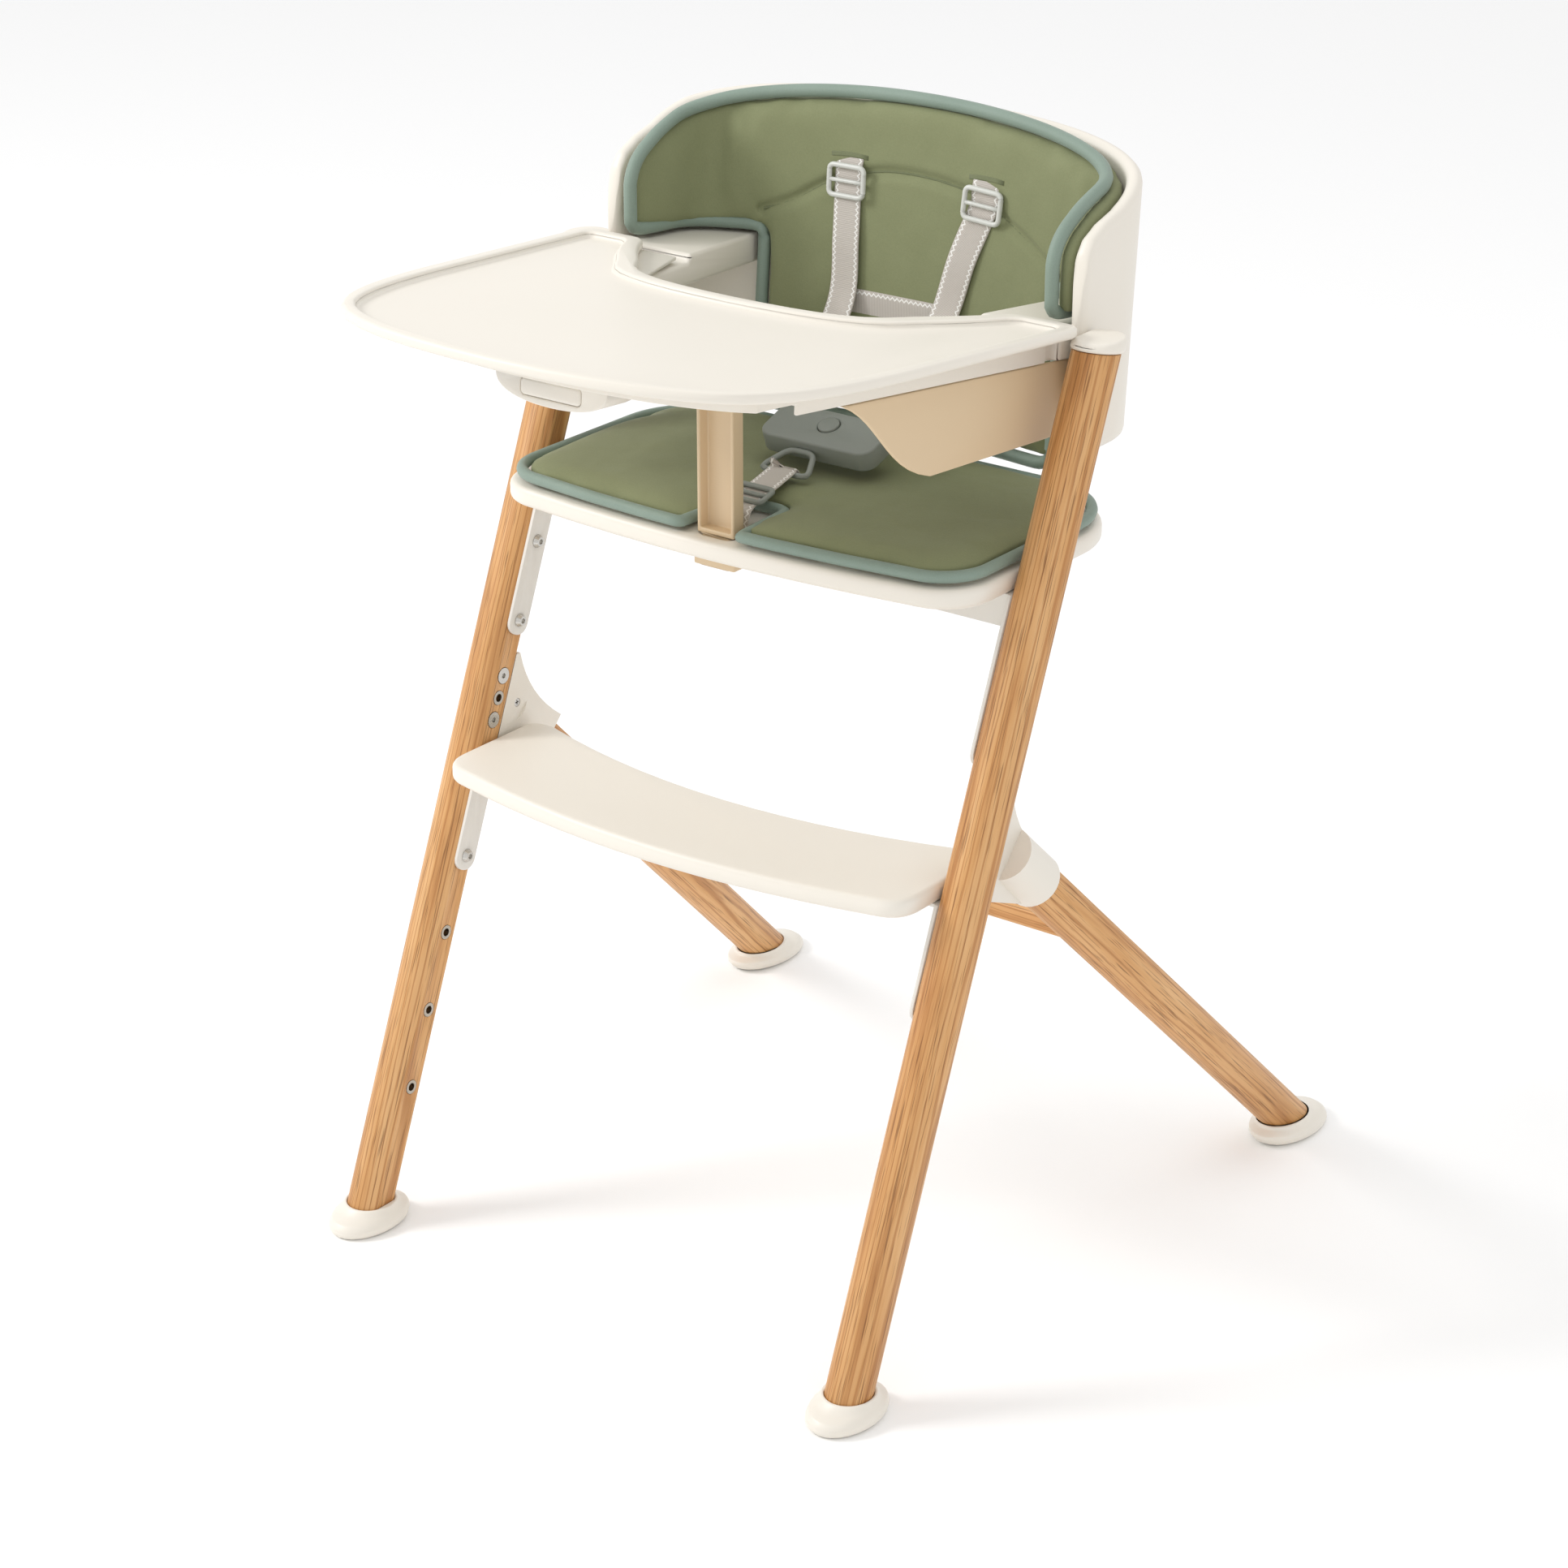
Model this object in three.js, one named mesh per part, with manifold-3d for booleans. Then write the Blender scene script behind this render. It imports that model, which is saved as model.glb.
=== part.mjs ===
// A baby's high chair: two leaning wooden front legs, two wooden rear legs, a seat plate and a footrest that
// bolt to a row of threaded inserts in the front legs, a back shell with armrests, a sliding tray with a
// lift-off cover, padded seat and back, and a five-point harness.
// Millimetres, +Z up, the child faces -Y. The origin is on the floor under the middle of the whole chair.
import * as THREE from "three";
import { mergeVertices } from "three/addons/utils/BufferGeometryUtils.js";
import Module from "manifold-3d";

const wasm = await Module();
wasm.setup();

// ---------------------------------------------------------------- driving dimensions

const GAP = 0.35; // between pieces that touch

// front legs: round poles with one flat, leaning back, parallel to each other
const LEG_DIAMETER = 36;
const LEG_FLAT = 15.5; // from the axis to the flat, which faces the other leg
const LEG_SPREAD = 475; // between the axes
const LEG_LEAN = THREE.MathUtils.degToRad(22.07);
const LEG_BOTTOM = 6; // both pairs of legs are cut level, this far above the floor
const LEG_REACH = 840; // of the pole along its axis, before its top is cut

// the row of threaded inserts in each flat
const HOLE_PITCH = 64;
const FIRST_HOLE = 118; // along the leg's axis
const HOLES = 8;
const CONNECTOR_HOLE = 5; // the free insert between the two connector bolts
const CONNECTOR_BOLT_OFFSET = 18;
const INSERT_DIAMETER = 11.5;
const INSERT_BORE = 6.6;
const INSERT_LENGTH = 9;

// rear legs: from a socket on each front leg, back and out to the floor
const REAR_LEG_OUT = 4.9; // its top, outside the front leg's axis
const REAR_LEG_SPLAY = 39.1; // its foot, outside the front leg's axis
const REAR_LEG_TOP = new THREE.Vector3(LEG_SPREAD / 2 + REAR_LEG_OUT, 200.1, 378.8);
const REAR_LEG_FLOOR = new THREE.Vector3(LEG_SPREAD / 2 + REAR_LEG_SPLAY, 594.1, 0);
const STRETCHER_HEIGHT = 286;
const STRETCHER_DEEP = 20;
const STRETCHER_TALL = 16;
const TENON_DIAMETER = 11;
const TENON_LENGTH = 12;

// leg connectors
const SOCKET_DIAMETER = 43;
const SOCKET_LENGTH = 37; // of rear leg held
const FIN_THICKNESS = 24;
const TONGUE_THICKNESS = 8;
const TONGUE_LENGTH = 60;
const SCREW_DIAMETER = 6.5;

// feet
const FOOT_HALF_WIDTH = 27;
const FRONT_FOOT_HALF_LENGTH = 38;
const REAR_FOOT_HALF_LENGTH = 45;
const FOOT_COLLAR = 2.6; // wall of the collar round the leg
const FRONT_FOOT_HEIGHT = 19;
const REAR_FOOT_HEIGHT = 17;

// leg caps
const CAP_OVERHANG = 2.2;
const CAP_TOP = 751;
const CAP_JOINT = 741; // where the leg's axis meets the cap
const CAP_TILT = 0.17; // fall of that joint towards the back

// seat plate
const SEAT_TOP = 590;
const SEAT_THICKNESS = 15;
const SEAT_SIDE_CLEARANCE = 2.4; // to the leg's flat
const SEAT_FRONT = 145;
const SEAT_REAR = 400;
const SEAT_CORNER = 42;
const SEAT_REAR_CORNER = 76;
const SEAT_BOW = 12; // how far the front edge bows out

// footrest plate
const FOOTREST_TOP = 376;
const FOOTREST_THICKNESS = 15;
const FOOTREST_FRONT = 65;
const FOOTREST_DEPTH = 104;
const FOOTREST_BOW = 28; // its ends sit further back than its middle
const FOOTREST_REAR_BOW = 36;
const FOOTREST_CORNER = 24;

// bent steel brackets under the seat plate and the footrest
const STEEL = 3;
const STRIP_WIDTH = 22;
const STRIP_PAST_BOLT = 12;
const BOLT_THREAD = 6;
const BOLT_HEAD = 11;
const BOLT_HEAD_HEIGHT = 3.3;
const BOLT_REACH = 8; // of thread in the leg
const BOLT_SOCKET = 4.6;
const APRON_DROP = 26;
const FLANGE_DEPTH = 46;

// back shell, a U in plan that leans back a little
const SHELL_LEG_CLEARANCE = 0.8;
const SHELL_WALL = 12;
const SHELL_SHOULDER = 355; // where the straight sides turn into the rounded back
const SHELL_BACK_DEPTH = 92;
const SHELL_ROUNDNESS = 2.4; // exponent of the superellipse
const SHELL_BOTTOM = 654;
const SHELL_TOP = 865; // of the rim, at the middle of the back
const SHELL_LEAN = 0.075;
const RIM_SLOPE = 0.31;

// armrests, tray and side panels share a plane that rises towards the front
const ARM_TILT = THREE.MathUtils.degToRad(4);
const ARM_TOP = 745; // at ARM_REAR
const ARM_REAR = 381;
const ARM_HEIGHT = 24;
const ARM_LEG_CLEARANCE = 21.5; // from the front leg's axis in to the armrest, at ARM_REAR
const ARM_OUTER_REAR = LEG_SPREAD / 2 - ARM_LEG_CLEARANCE; // half width outside, at ARM_REAR
const ARM_WIDTH = 71;
const ARM_TAPER = 0.145; // inwards, for each millimetre forwards
const ARM_LENGTH = 322;
const RAIL_DROP = 6; // the front of the armrest is a lower rail for the tray
const RAIL_INSET = 4.5;
const PAD_FRONT = 78; // how far the high part reaches forwards of ARM_REAR

// side panels
const PANEL_WALL = 3.2;
const PANEL_BOTTOM = 675;
const PANEL_INSET = 3;
const PANEL_LEAN = 0.17; // outwards to its bottom

// tray cover and base
const TRAY_FRONT = -85;
const TRAY_REAR = 294;
const TRAY_OVERHANG = 14; // of the cover's rear ends past the armrests
const TRAY_NARROWING = 40; // from its rear ends to its front corners
const TRAY_HALF_REAR = ARM_OUTER_REAR + TRAY_OVERHANG;
const TRAY_HALF_FRONT = TRAY_HALF_REAR - TRAY_NARROWING;
const TRAY_BELLY = 185; // the front of the cut-out for the child
const TRAY_HORN = 108; // width of each rear end, beside the cut-out
const TRAY_BELLY_HALF = TRAY_HALF_REAR - TRAY_HORN;
const TRAY_HEIGHT = 8;
const TRAY_FLOOR = 3;
const TRAY_RIM = 12;
const BASE_FRONT = -40;
const BASE_INSET = 14; // of the base's front corners inside the cover's
const BASE_HALF_FRONT = TRAY_HALF_FRONT - BASE_INSET;
const BASE_PLATE = 3;
const BASE_SKIRT = 23;
const BASE_WALL = 3;
const BASE_REAR = 290;
const BASE_FRONT_SKIRT = 15;
const BASE_FRONT_DEPTH = 78; // of the shallower front of the skirt

// release handle under the tray
const RELEASE_FRONT = -22;
const RELEASE_WIDTH = 100;
const RELEASE_DROP = 38; // from the top of the tray base
const RELEASE_ROUND = 18;
const RELEASE_DEPTH = 34;
const BUTTON_WIDTH = 54;
const BUTTON_CENTRE = 26; // below the top of the tray base
const BUTTON_HEIGHT = 13;
const BUTTON_DEPTH = 9;
const BUTTON_TRAVEL = 4;

// crotch post
const POST_WIDTH = 34;
const POST_DEPTH = 13;
const POST_WALL = 3;
const POST_FRONT = 160;
const POST_TOP_CLEARANCE = 3;
const CLIP_HEIGHT = 9;

// cushions
const SEAT_CUSHION = 13;
const SEAT_CUSHION_MARGIN = 8;
const SEAT_CUSHION_REAR = 392;
const NOTCH_HALF = 25;
const NOTCH_DEPTH = 66;
const BACK_CUSHION = 18;
const BACK_CUSHION_CLEARANCE = 7; // to each armrest
const BACK_CUSHION_WING_INSET = 11; // of its wings inside the armrests' outer edges
const BACK_CUSHION_HALF = ARM_OUTER_REAR - ARM_WIDTH - BACK_CUSHION_CLEARANCE;
const BACK_CUSHION_WING_HALF = ARM_OUTER_REAR - BACK_CUSHION_WING_INSET;
const BACK_CUSHION_TOP = 862;

// harness
const WEBBING = 25;
const WEBBING_THICKNESS = 1.6;
const SHOULDER_HALF = 64;
const BUCKLE_WIDTH = 104;
const BUCKLE_HEIGHT = 42;
const BUCKLE_DEPTH = 17;

// ---------------------------------------------------------------- helpers

const { cos, sin, tan, PI } = Math;
const X = new THREE.Vector3(1, 0, 0);
const Y = new THREE.Vector3(0, 1, 0);
const Z = new THREE.Vector3(0, 0, 1);
const v3 = (x, y, z) => new THREE.Vector3(x, y, z);
const v2 = (x, y) => new THREE.Vector2(x, y);
const shifted = (x, y, z) => new THREE.Matrix4().makeTranslation(x, y, z);
// maps a drawing's u, v and thickness to the axes given
const drawnOn = (u, v, w) => new THREE.Matrix4().makeBasis(u, v, w);

// A closed three.js geometry as a solid for joining and cutting.
function solid(geometry) {
  const bare = geometry.clone();
  for (const name of ["normal", "uv"]) bare.deleteAttribute(name);
  const merged = mergeVertices(bare, 1e-4);
  const vertProperties = new Float32Array(merged.attributes.position.array);
  const triVerts = new Uint32Array(merged.index.array);
  return new wasm.Manifold(new wasm.Mesh({ numProp: 3, vertProperties, triVerts }));
}

function geometryOf(made) {
  const mesh = made.getMesh();
  const geometry = new THREE.BufferGeometry();
  geometry.setAttribute("position", new THREE.BufferAttribute(new Float32Array(mesh.vertProperties), 3));
  geometry.setIndex(new THREE.BufferAttribute(new Uint32Array(mesh.triVerts), 1));
  const flat = geometry.toNonIndexed();
  flat.computeVertexNormals();
  return flat;
}

const join = (...list) => geometryOf(list.map(solid).reduce((a, b) => a.add(b)));
const cut = (from, ...tools) => geometryOf(tools.map(solid).reduce((a, b) => a.subtract(b), solid(from)));
const common = (...list) => geometryOf(list.map(solid).reduce((a, b) => a.intersect(b)));

const moved = (geometry, matrix) => geometry.clone().applyMatrix4(matrix);

// A block between two corners.
function block(x0, x1, y0, y1, z0, z1) {
  return new THREE.BoxGeometry(x1 - x0, y1 - y0, z1 - z0).translate((x0 + x1) / 2, (y0 + y1) / 2, (z0 + z1) / 2);
}

// A flat outline, given as a Shape or a list of points, extruded from z0 to z1.
function slab(outline, z0, z1, curveSegments = 10) {
  const shape = Array.isArray(outline) ? new THREE.Shape(outline) : outline;
  return new THREE.ExtrudeGeometry(shape, { depth: z1 - z0, bevelEnabled: false, curveSegments }).translate(0, 0, z0);
}

// A cylinder along an axis, starting at a point.
function rod(radius, length, start, axis, sides = 20) {
  const geometry = new THREE.CylinderGeometry(radius, radius, length, sides).translate(0, length / 2, 0);
  geometry.applyQuaternion(new THREE.Quaternion().setFromUnitVectors(Y, axis.clone().normalize()));
  return geometry.translate(start.x, start.y, start.z);
}

// A closed skin through rings of points, all with the same count, capped at both ends.
function loft(rings) {
  const count = rings[0].length;
  const points = rings.flat();
  const index = [];
  for (let r = 0; r + 1 < rings.length; r += 1) {
    for (let i = 0; i < count; i += 1) {
      const a = r * count + i;
      const b = r * count + ((i + 1) % count);
      index.push(a, b, b + count, a, b + count, a + count);
    }
  }
  const last = (rings.length - 1) * count;
  for (let i = 1; i + 1 < count; i += 1) {
    index.push(0, i + 1, i, last, last + i, last + i + 1);
  }
  const geometry = new THREE.BufferGeometry().setFromPoints(points);
  geometry.setIndex(index);
  return geometry.toNonIndexed();
}

function ellipse(cx, cy, z, ax, ay, count = 28) {
  const at = (i) => (2 * PI * i) / count;
  return Array.from({ length: count }, (_, i) => v3(cx + ax * cos(at(i)), cy + ay * sin(at(i)), z));
}

// A flat band of webbing through a list of points; across says which way its width lies at each point.
function band(points, across, width = WEBBING, thickness = WEBBING_THICKNESS) {
  const rings = points.map((point, i) => {
    const ahead = points[Math.min(i + 1, points.length - 1)];
    const along = ahead.clone().sub(points[Math.max(i - 1, 0)]).normalize();
    const side = across(i / (points.length - 1)).normalize();
    const face = along.clone().cross(side).normalize().multiplyScalar(thickness / 2);
    side.multiplyScalar(width / 2);
    const corner = (s, f) => point.clone().addScaledVector(side, s).addScaledVector(face, f);
    return [corner(-1, -1), corner(1, -1), corner(1, 1), corner(-1, 1)];
  });
  return loft(rings);
}

const smooth = (points, count) => new THREE.CatmullRomCurve3(points).getPoints(count);

// A rectangle with round corners, centred on a point.
function roundedRect(width, height, radius, cx = 0, cy = 0) {
  const shape = new THREE.Shape();
  const x = cx - width / 2;
  const y = cy - height / 2;
  shape.moveTo(x + radius, y);
  shape.lineTo(x + width - radius, y);
  shape.absarc(x + width - radius, y + radius, radius, -PI / 2, 0);
  shape.lineTo(x + width, y + height - radius);
  shape.absarc(x + width - radius, y + height - radius, radius, 0, PI / 2);
  shape.lineTo(x + radius, y + height);
  shape.absarc(x + radius, y + height - radius, radius, PI / 2, PI);
  shape.lineTo(x, y + radius);
  shape.absarc(x + radius, y + radius, radius, PI, 1.5 * PI);
  return shape;
}

// ---------------------------------------------------------------- finishes

const finish = (color, roughness, metalness = 0) => new THREE.MeshStandardMaterial({ color, roughness, metalness });
const WOOD = () => finish(0xc99a66, 0.55);
const WHITE = () => finish(0xf2efe9, 0.45);
const CREAM = () => finish(0xe2cfae, 0.5);
const ENAMEL = () => finish(0xe9e7e2, 0.4, 0.1);
const STAINLESS = () => finish(0xb9b7b2, 0.3, 1);
const BRASS = () => finish(0x8d8578, 0.4, 1);
const SAGE = () => finish(0x848c6b, 0.9);
const TAUPE = () => finish(0xa8a097, 0.85);
const GREY = () => finish(0x8e938c, 0.5);
const PALE_GREY = () => finish(0xd0d1ca, 0.45);

const chair = new THREE.Group();

function group(parent, position = v3(0, 0, 0), tilt = 0) {
  const made = new THREE.Group();
  made.position.copy(position);
  made.rotation.x = tilt;
  parent.add(made);
  return made;
}

function part(parent, name, geometry, material, position = v3(0, 0, 0)) {
  const mesh = new THREE.Mesh(geometry, material());
  mesh.name = name;
  mesh.position.copy(position);
  parent.add(mesh);
  return mesh;
}

const SIDES = [
  { name: "left", side: -1 },
  { name: "right", side: 1 },
];

// ---------------------------------------------------------------- front legs

const legRadius = LEG_DIAMETER / 2;
const legX = LEG_SPREAD / 2;
const flatX = legX - LEG_FLAT; // the plane of the flat
const holeAt = (i) => FIRST_HOLE + i * HOLE_PITCH;
const alongLeg = (s) => v3(0, s * sin(LEG_LEAN), s * cos(LEG_LEAN));
const legAtHeight = (z) => z * tan(LEG_LEAN);
const capS = CAP_JOINT / cos(LEG_LEAN);
const SEAT_BOLTS = [HOLES - 2, HOLES - 1].map(holeAt);
const FOOTREST_BOLTS = [3, 4].map(holeAt);
const FREE_INSERTS = [0, 1, 2, CONNECTOR_HOLE];
const connectorBolts = [-1, 1].map((s) => holeAt(CONNECTOR_HOLE) + s * CONNECTOR_BOLT_OFFSET);

// The leg's section in its own frame, with the flat towards the middle of the chair.
function legSection(side, grow = 0, growFlat = grow) {
  const radius = legRadius + grow;
  const half = Math.acos((LEG_FLAT + growFlat) / radius);
  const turn = side > 0 ? PI : 0;
  const shape = new THREE.Shape();
  shape.absarc(0, 0, radius, turn + half, turn + 2 * PI - half);
  return shape;
}

const legFrame = (side) => shifted(side * legX, 0, 0).multiply(new THREE.Matrix4().makeRotationX(-LEG_LEAN));

// A hole or shank square to the flat, in the leg's frame: positive depth goes into the leg.
function intoFlat(side, s, radius, from, to, sides = 14) {
  const inward = v3(side, 0, 0);
  const start = v3(-side * (LEG_FLAT - from), 0, s);
  return rod(radius, to - from, start, inward, sides);
}

// The space the front legs fill, between the level cut in the feet and the tilted joint with the caps.
function legRoom(grow = 0) {
  const room = block(-400, 400, -400, 800, LEG_BOTTOM - grow, 2000);
  return cut(room, aboveJoint(-grow));
}

// Everything above the joint between leg and cap, raised by a gap.
function aboveJoint(raise) {
  const at = v3(0, legAtHeight(CAP_JOINT), CAP_JOINT + raise);
  const tilt = new THREE.Matrix4().makeRotationX(-Math.atan(CAP_TILT));
  return moved(block(-500, 500, -900, 900, 0, 1500), new THREE.Matrix4().makeTranslation(at).multiply(tilt));
}

function frontLeg(side) {
  const whole = slab(legSection(side), -20, LEG_REACH, 28);
  const pole = common(whole, moved(legRoom(), legFrame(side).invert()));
  const insertHoles = FREE_INSERTS.map((i) =>
    intoFlat(side, holeAt(i), INSERT_DIAMETER / 2 + GAP / 2, -1, INSERT_LENGTH + GAP),
  );
  const boltHoles = [...SEAT_BOLTS, ...FOOTREST_BOLTS].map((s) =>
    intoFlat(side, s, BOLT_THREAD / 2 + GAP, -1, BOLT_REACH + 1),
  );
  const headHoles = connectorBolts.map((s) => intoFlat(side, s, CONNECTOR_HEAD / 2 + GAP, -1, 4 + GAP));
  const throughHoles = connectorBolts.map((s) => intoFlat(side, s, BOLT_THREAD / 2 + GAP, -1, CONNECTOR_REACH + 1));
  const mortise = tongue(side, GAP);
  const spigot = rod(TENON_DIAMETER / 2 + GAP, 60, v3(0, 0, capS - TENON_LENGTH - GAP), Z);
  return cut(pole, ...insertHoles, ...boltHoles, ...headHoles, ...throughHoles, mortise, spigot);
}

const CONNECTOR_HEAD = 13;
const CONNECTOR_REACH = 25;

// The connector's tongue, in the leg's frame, which fills the leg's mortise.
function tongue(side, grow = 0) {
  const half = TONGUE_THICKNESS / 2 + grow;
  const middle = holeAt(CONNECTOR_HOLE);
  const long = TONGUE_LENGTH / 2 + grow;
  return block(-half, half, -9 - grow, legRadius + 4, middle - long, middle + long);
}

function buttonBolt(side) {
  const inward = v3(-side, 0, 0);
  const head = new THREE.CylinderGeometry(BOLT_HEAD * 0.34, BOLT_HEAD / 2, BOLT_HEAD_HEIGHT, 20);
  head.translate(0, BOLT_HEAD_HEIGHT / 2, 0);
  head.applyQuaternion(new THREE.Quaternion().setFromUnitVectors(Y, inward));
  const shank = rod(BOLT_THREAD / 2, BOLT_REACH + STEEL + GAP + 0.5, v3(-side * 0.5, 0, 0), v3(side, 0, 0), 14);
  const socket = rod(BOLT_SOCKET / 2, 3, v3(-side * (BOLT_HEAD_HEIGHT - 2), 0, 0), inward, 6);
  return cut(join(head, shank), socket);
}

function flatBolt(side) {
  const head = rod(CONNECTOR_HEAD / 2, 4, v3(0, 0, 0), v3(side, 0, 0), 20);
  const shank = rod(BOLT_THREAD / 2, CONNECTOR_REACH, v3(side, 0, 0), v3(side, 0, 0), 14);
  const socket = rod(BOLT_SOCKET / 2, 4, v3(side * 2.4, 0, 0), v3(-side, 0, 0), 6);
  return cut(join(head, shank), socket);
}

function insertRing() {
  const ring = new THREE.Shape().absarc(0, 0, INSERT_DIAMETER / 2, 0, 2 * PI);
  ring.holes.push(new THREE.Path().absarc(0, 0, INSERT_BORE / 2, 0, 2 * PI, true));
  return moved(slab(ring, 0, INSERT_LENGTH, 16), drawnOn(Y, Z, X));
}

const frame = group(chair);

for (const { name, side } of SIDES) {
  const leg = group(frame, v3(side * legX, 0, 0), -LEG_LEAN);
  part(leg, `front_leg_${name}`, frontLeg(side), WOOD);
  for (const i of FREE_INSERTS) {
    const seat = side < 0 ? LEG_FLAT - INSERT_LENGTH : -LEG_FLAT;
    part(leg, `insert_${name}_${i + 1}`, insertRing(), BRASS, v3(seat, 0, holeAt(i)));
  }
  connectorBolts.forEach((s, i) => {
    part(leg, `connector_bolt_${name}_${i + 1}`, flatBolt(side), STAINLESS, v3(-side * LEG_FLAT, 0, s));
  });
}

// ---------------------------------------------------------------- feet and leg caps

function footOf(rise, half, height, lean, collarHalf) {
  const rings = [
    [0, half - 4, FOOT_HALF_WIDTH - 4],
    [3, half - 0.6, FOOT_HALF_WIDTH - 0.6],
    [7, half, FOOT_HALF_WIDTH],
    [11, half - 2.5, FOOT_HALF_WIDTH - 1.6],
  ];
  const collar = [height, collarHalf, legRadius + FOOT_COLLAR];
  const from = rings[rings.length - 1];
  for (const t of [0.3, 0.62, 1]) {
    const ease = 1 - (1 - t) ** 1.8;
    rings.push([from[0] + (collar[0] - from[0]) * t, ...[1, 2].map((k) => from[k] + (collar[k] - from[k]) * ease)]);
  }
  return loft(rings.map(([z, ay, ax]) => ellipse(lean.x * z, rise + (lean.y - rise / height) * z, z, ax, ay)));
}

const rearAxis = REAR_LEG_TOP.clone().sub(REAR_LEG_FLOOR).normalize();
const rearPoint = (t) => REAR_LEG_FLOOR.clone().addScaledVector(rearAxis, t);
const rearLength = REAR_LEG_TOP.distanceTo(REAR_LEG_FLOOR);

for (const { name, side } of SIDES) {
  const aboveFloor = block(-200, 200, -200, 300, LEG_BOTTOM - GAP, 200);
  const pole = moved(slab(legSection(side, GAP), -40, 200, 28), new THREE.Matrix4().makeRotationX(-LEG_LEAN));
  const bore = common(pole, aboveFloor);
  const frontLean = { x: 0, y: tan(LEG_LEAN) };
  const front = footOf(4, FRONT_FOOT_HALF_LENGTH, FRONT_FOOT_HEIGHT, frontLean, legRadius / cos(LEG_LEAN) + FOOT_COLLAR);
  part(frame, `front_foot_${name}`, cut(front, bore), WHITE, v3(side * legX, 0, 0));

  const axis = v3(side * rearAxis.x, rearAxis.y, rearAxis.z);
  const rearLean = { x: axis.x / axis.z, y: axis.y / axis.z };
  const rearPole = rod(legRadius + GAP, 240, axis.clone().multiplyScalar(-60), axis, 28);
  const rearBore = common(rearPole, aboveFloor);
  const rear = footOf(-4, REAR_FOOT_HALF_LENGTH, REAR_FOOT_HEIGHT, rearLean, legRadius / axis.z + FOOT_COLLAR);
  part(frame, `rear_foot_${name}`, cut(rear, rearBore), WHITE, v3(side * REAR_LEG_FLOOR.x, REAR_LEG_FLOOR.y, 0));
}

// A cap continues the leg, a little fatter except at the flat, and its top is level.
function legCap(side) {
  const body = moved(slab(legSection(side, CAP_OVERHANG, 0), capS - 60, capS + 60, 28), legFrame(side));
  const below = block(-400, 400, 0, 600, 0, CAP_TOP);
  const spigot = moved(rod(TENON_DIAMETER / 2, TENON_LENGTH + 6, v3(0, 0, capS - TENON_LENGTH), Z), legFrame(side));
  return join(common(body, below, aboveJoint(GAP)), common(spigot, below));
}

for (const { name, side } of SIDES) {
  part(frame, `leg_cap_${name}`, legCap(side), WHITE);
}

// ---------------------------------------------------------------- rear legs, connectors and stretcher

const stretcherT = STRETCHER_HEIGHT / rearAxis.z;
const stretcherY = rearPoint(stretcherT).y;

function rearLeg(side) {
  const foot = rearPoint(-60);
  const axis = v3(side * rearAxis.x, rearAxis.y, rearAxis.z);
  const long = rod(legRadius, rearLength + 60, foot.setX(side * foot.x), axis, 28);
  const pole = common(long, block(-400, 400, -400, 900, LEG_BOTTOM, 900));
  const x = side * rearPoint(stretcherT).x;
  const mortise = rod(TENON_DIAMETER / 2 + GAP, 40, v3(x - side * 3, stretcherY, STRETCHER_HEIGHT), v3(-side, 0, 0));
  return cut(pole, mortise);
}

// The fin's side view, from the front leg's back to the socket's mouth: u is y, v is z.
function finOutline() {
  const mouth = rearPoint(rearLength - SOCKET_LENGTH);
  const across = v2(rearAxis.z, -rearAxis.y).multiplyScalar(SOCKET_DIAMETER / 2 - 2);
  const middle = holeAt(CONNECTOR_HOLE);
  const top = alongLeg(middle + TONGUE_LENGTH / 2 + 2);
  const bottom = alongLeg(middle - TONGUE_LENGTH / 2 - 13);
  const shape = new THREE.Shape();
  shape.moveTo(bottom.y, bottom.z);
  shape.lineTo(mouth.y - across.x, mouth.z - across.y);
  shape.lineTo(mouth.y + across.x, mouth.z + across.y);
  shape.quadraticCurveTo(top.y + legRadius + 6, top.z - 40, top.y + legRadius - 2, top.z);
  shape.lineTo(top.y, top.z);
  return shape;
}

function connector(side) {
  const inner = flatX + 0.4;
  const fin = moved(slab(finOutline(), inner, inner + FIN_THICKNESS, 8), drawnOn(Y, Z, X));
  const mouth = rearPoint(rearLength - SOCKET_LENGTH);
  const socket = rod(SOCKET_DIAMETER / 2, SOCKET_LENGTH + 12, mouth, rearAxis, 28);
  const bore = rod(legRadius + GAP, SOCKET_LENGTH + 1 + GAP, mouth.clone().addScaledVector(rearAxis, -1), rearAxis, 28);
  const clearOfLeg = moved(slab(legSection(1, GAP), 0, LEG_REACH, 28), legFrame(1));
  const plug = moved(tongue(1), legFrame(1));
  const boltHoles = connectorBolts.map((s) => moved(intoFlat(1, s, BOLT_THREAD / 2 + GAP, -1, 30), legFrame(1)));
  const pilot = rod(SCREW_DIAMETER / 2 + GAP, 14, v3(inner - 1, SCREW_AT.y, SCREW_AT.z), X, 16);
  const shell = cut(join(fin, socket), clearOfLeg);
  const made = cut(join(shell, plug), ...boltHoles, bore, pilot);
  return side > 0 ? made : mirrored(made);
}

const SCREW_AT = alongLeg(holeAt(CONNECTOR_HOLE) - 12).add(v3(0, legRadius + 9, 0));

function mirrored(geometry) {
  return geometryOf(solid(geometry).mirror([1, 0, 0]));
}

function crossScrew(side) {
  const head = rod(SCREW_DIAMETER / 2, 3, v3(0, 0, 0), v3(side, 0, 0), 16);
  const shank = rod(SCREW_DIAMETER / 4, 12, v3(0, 0, 0), v3(side, 0, 0), 10);
  const slots = [block(-2, 2, -2, 2, -0.5, 0.5), block(-2, 2, -0.5, 0.5, -2, 2)];
  return cut(join(head, shank), ...slots);
}

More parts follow.
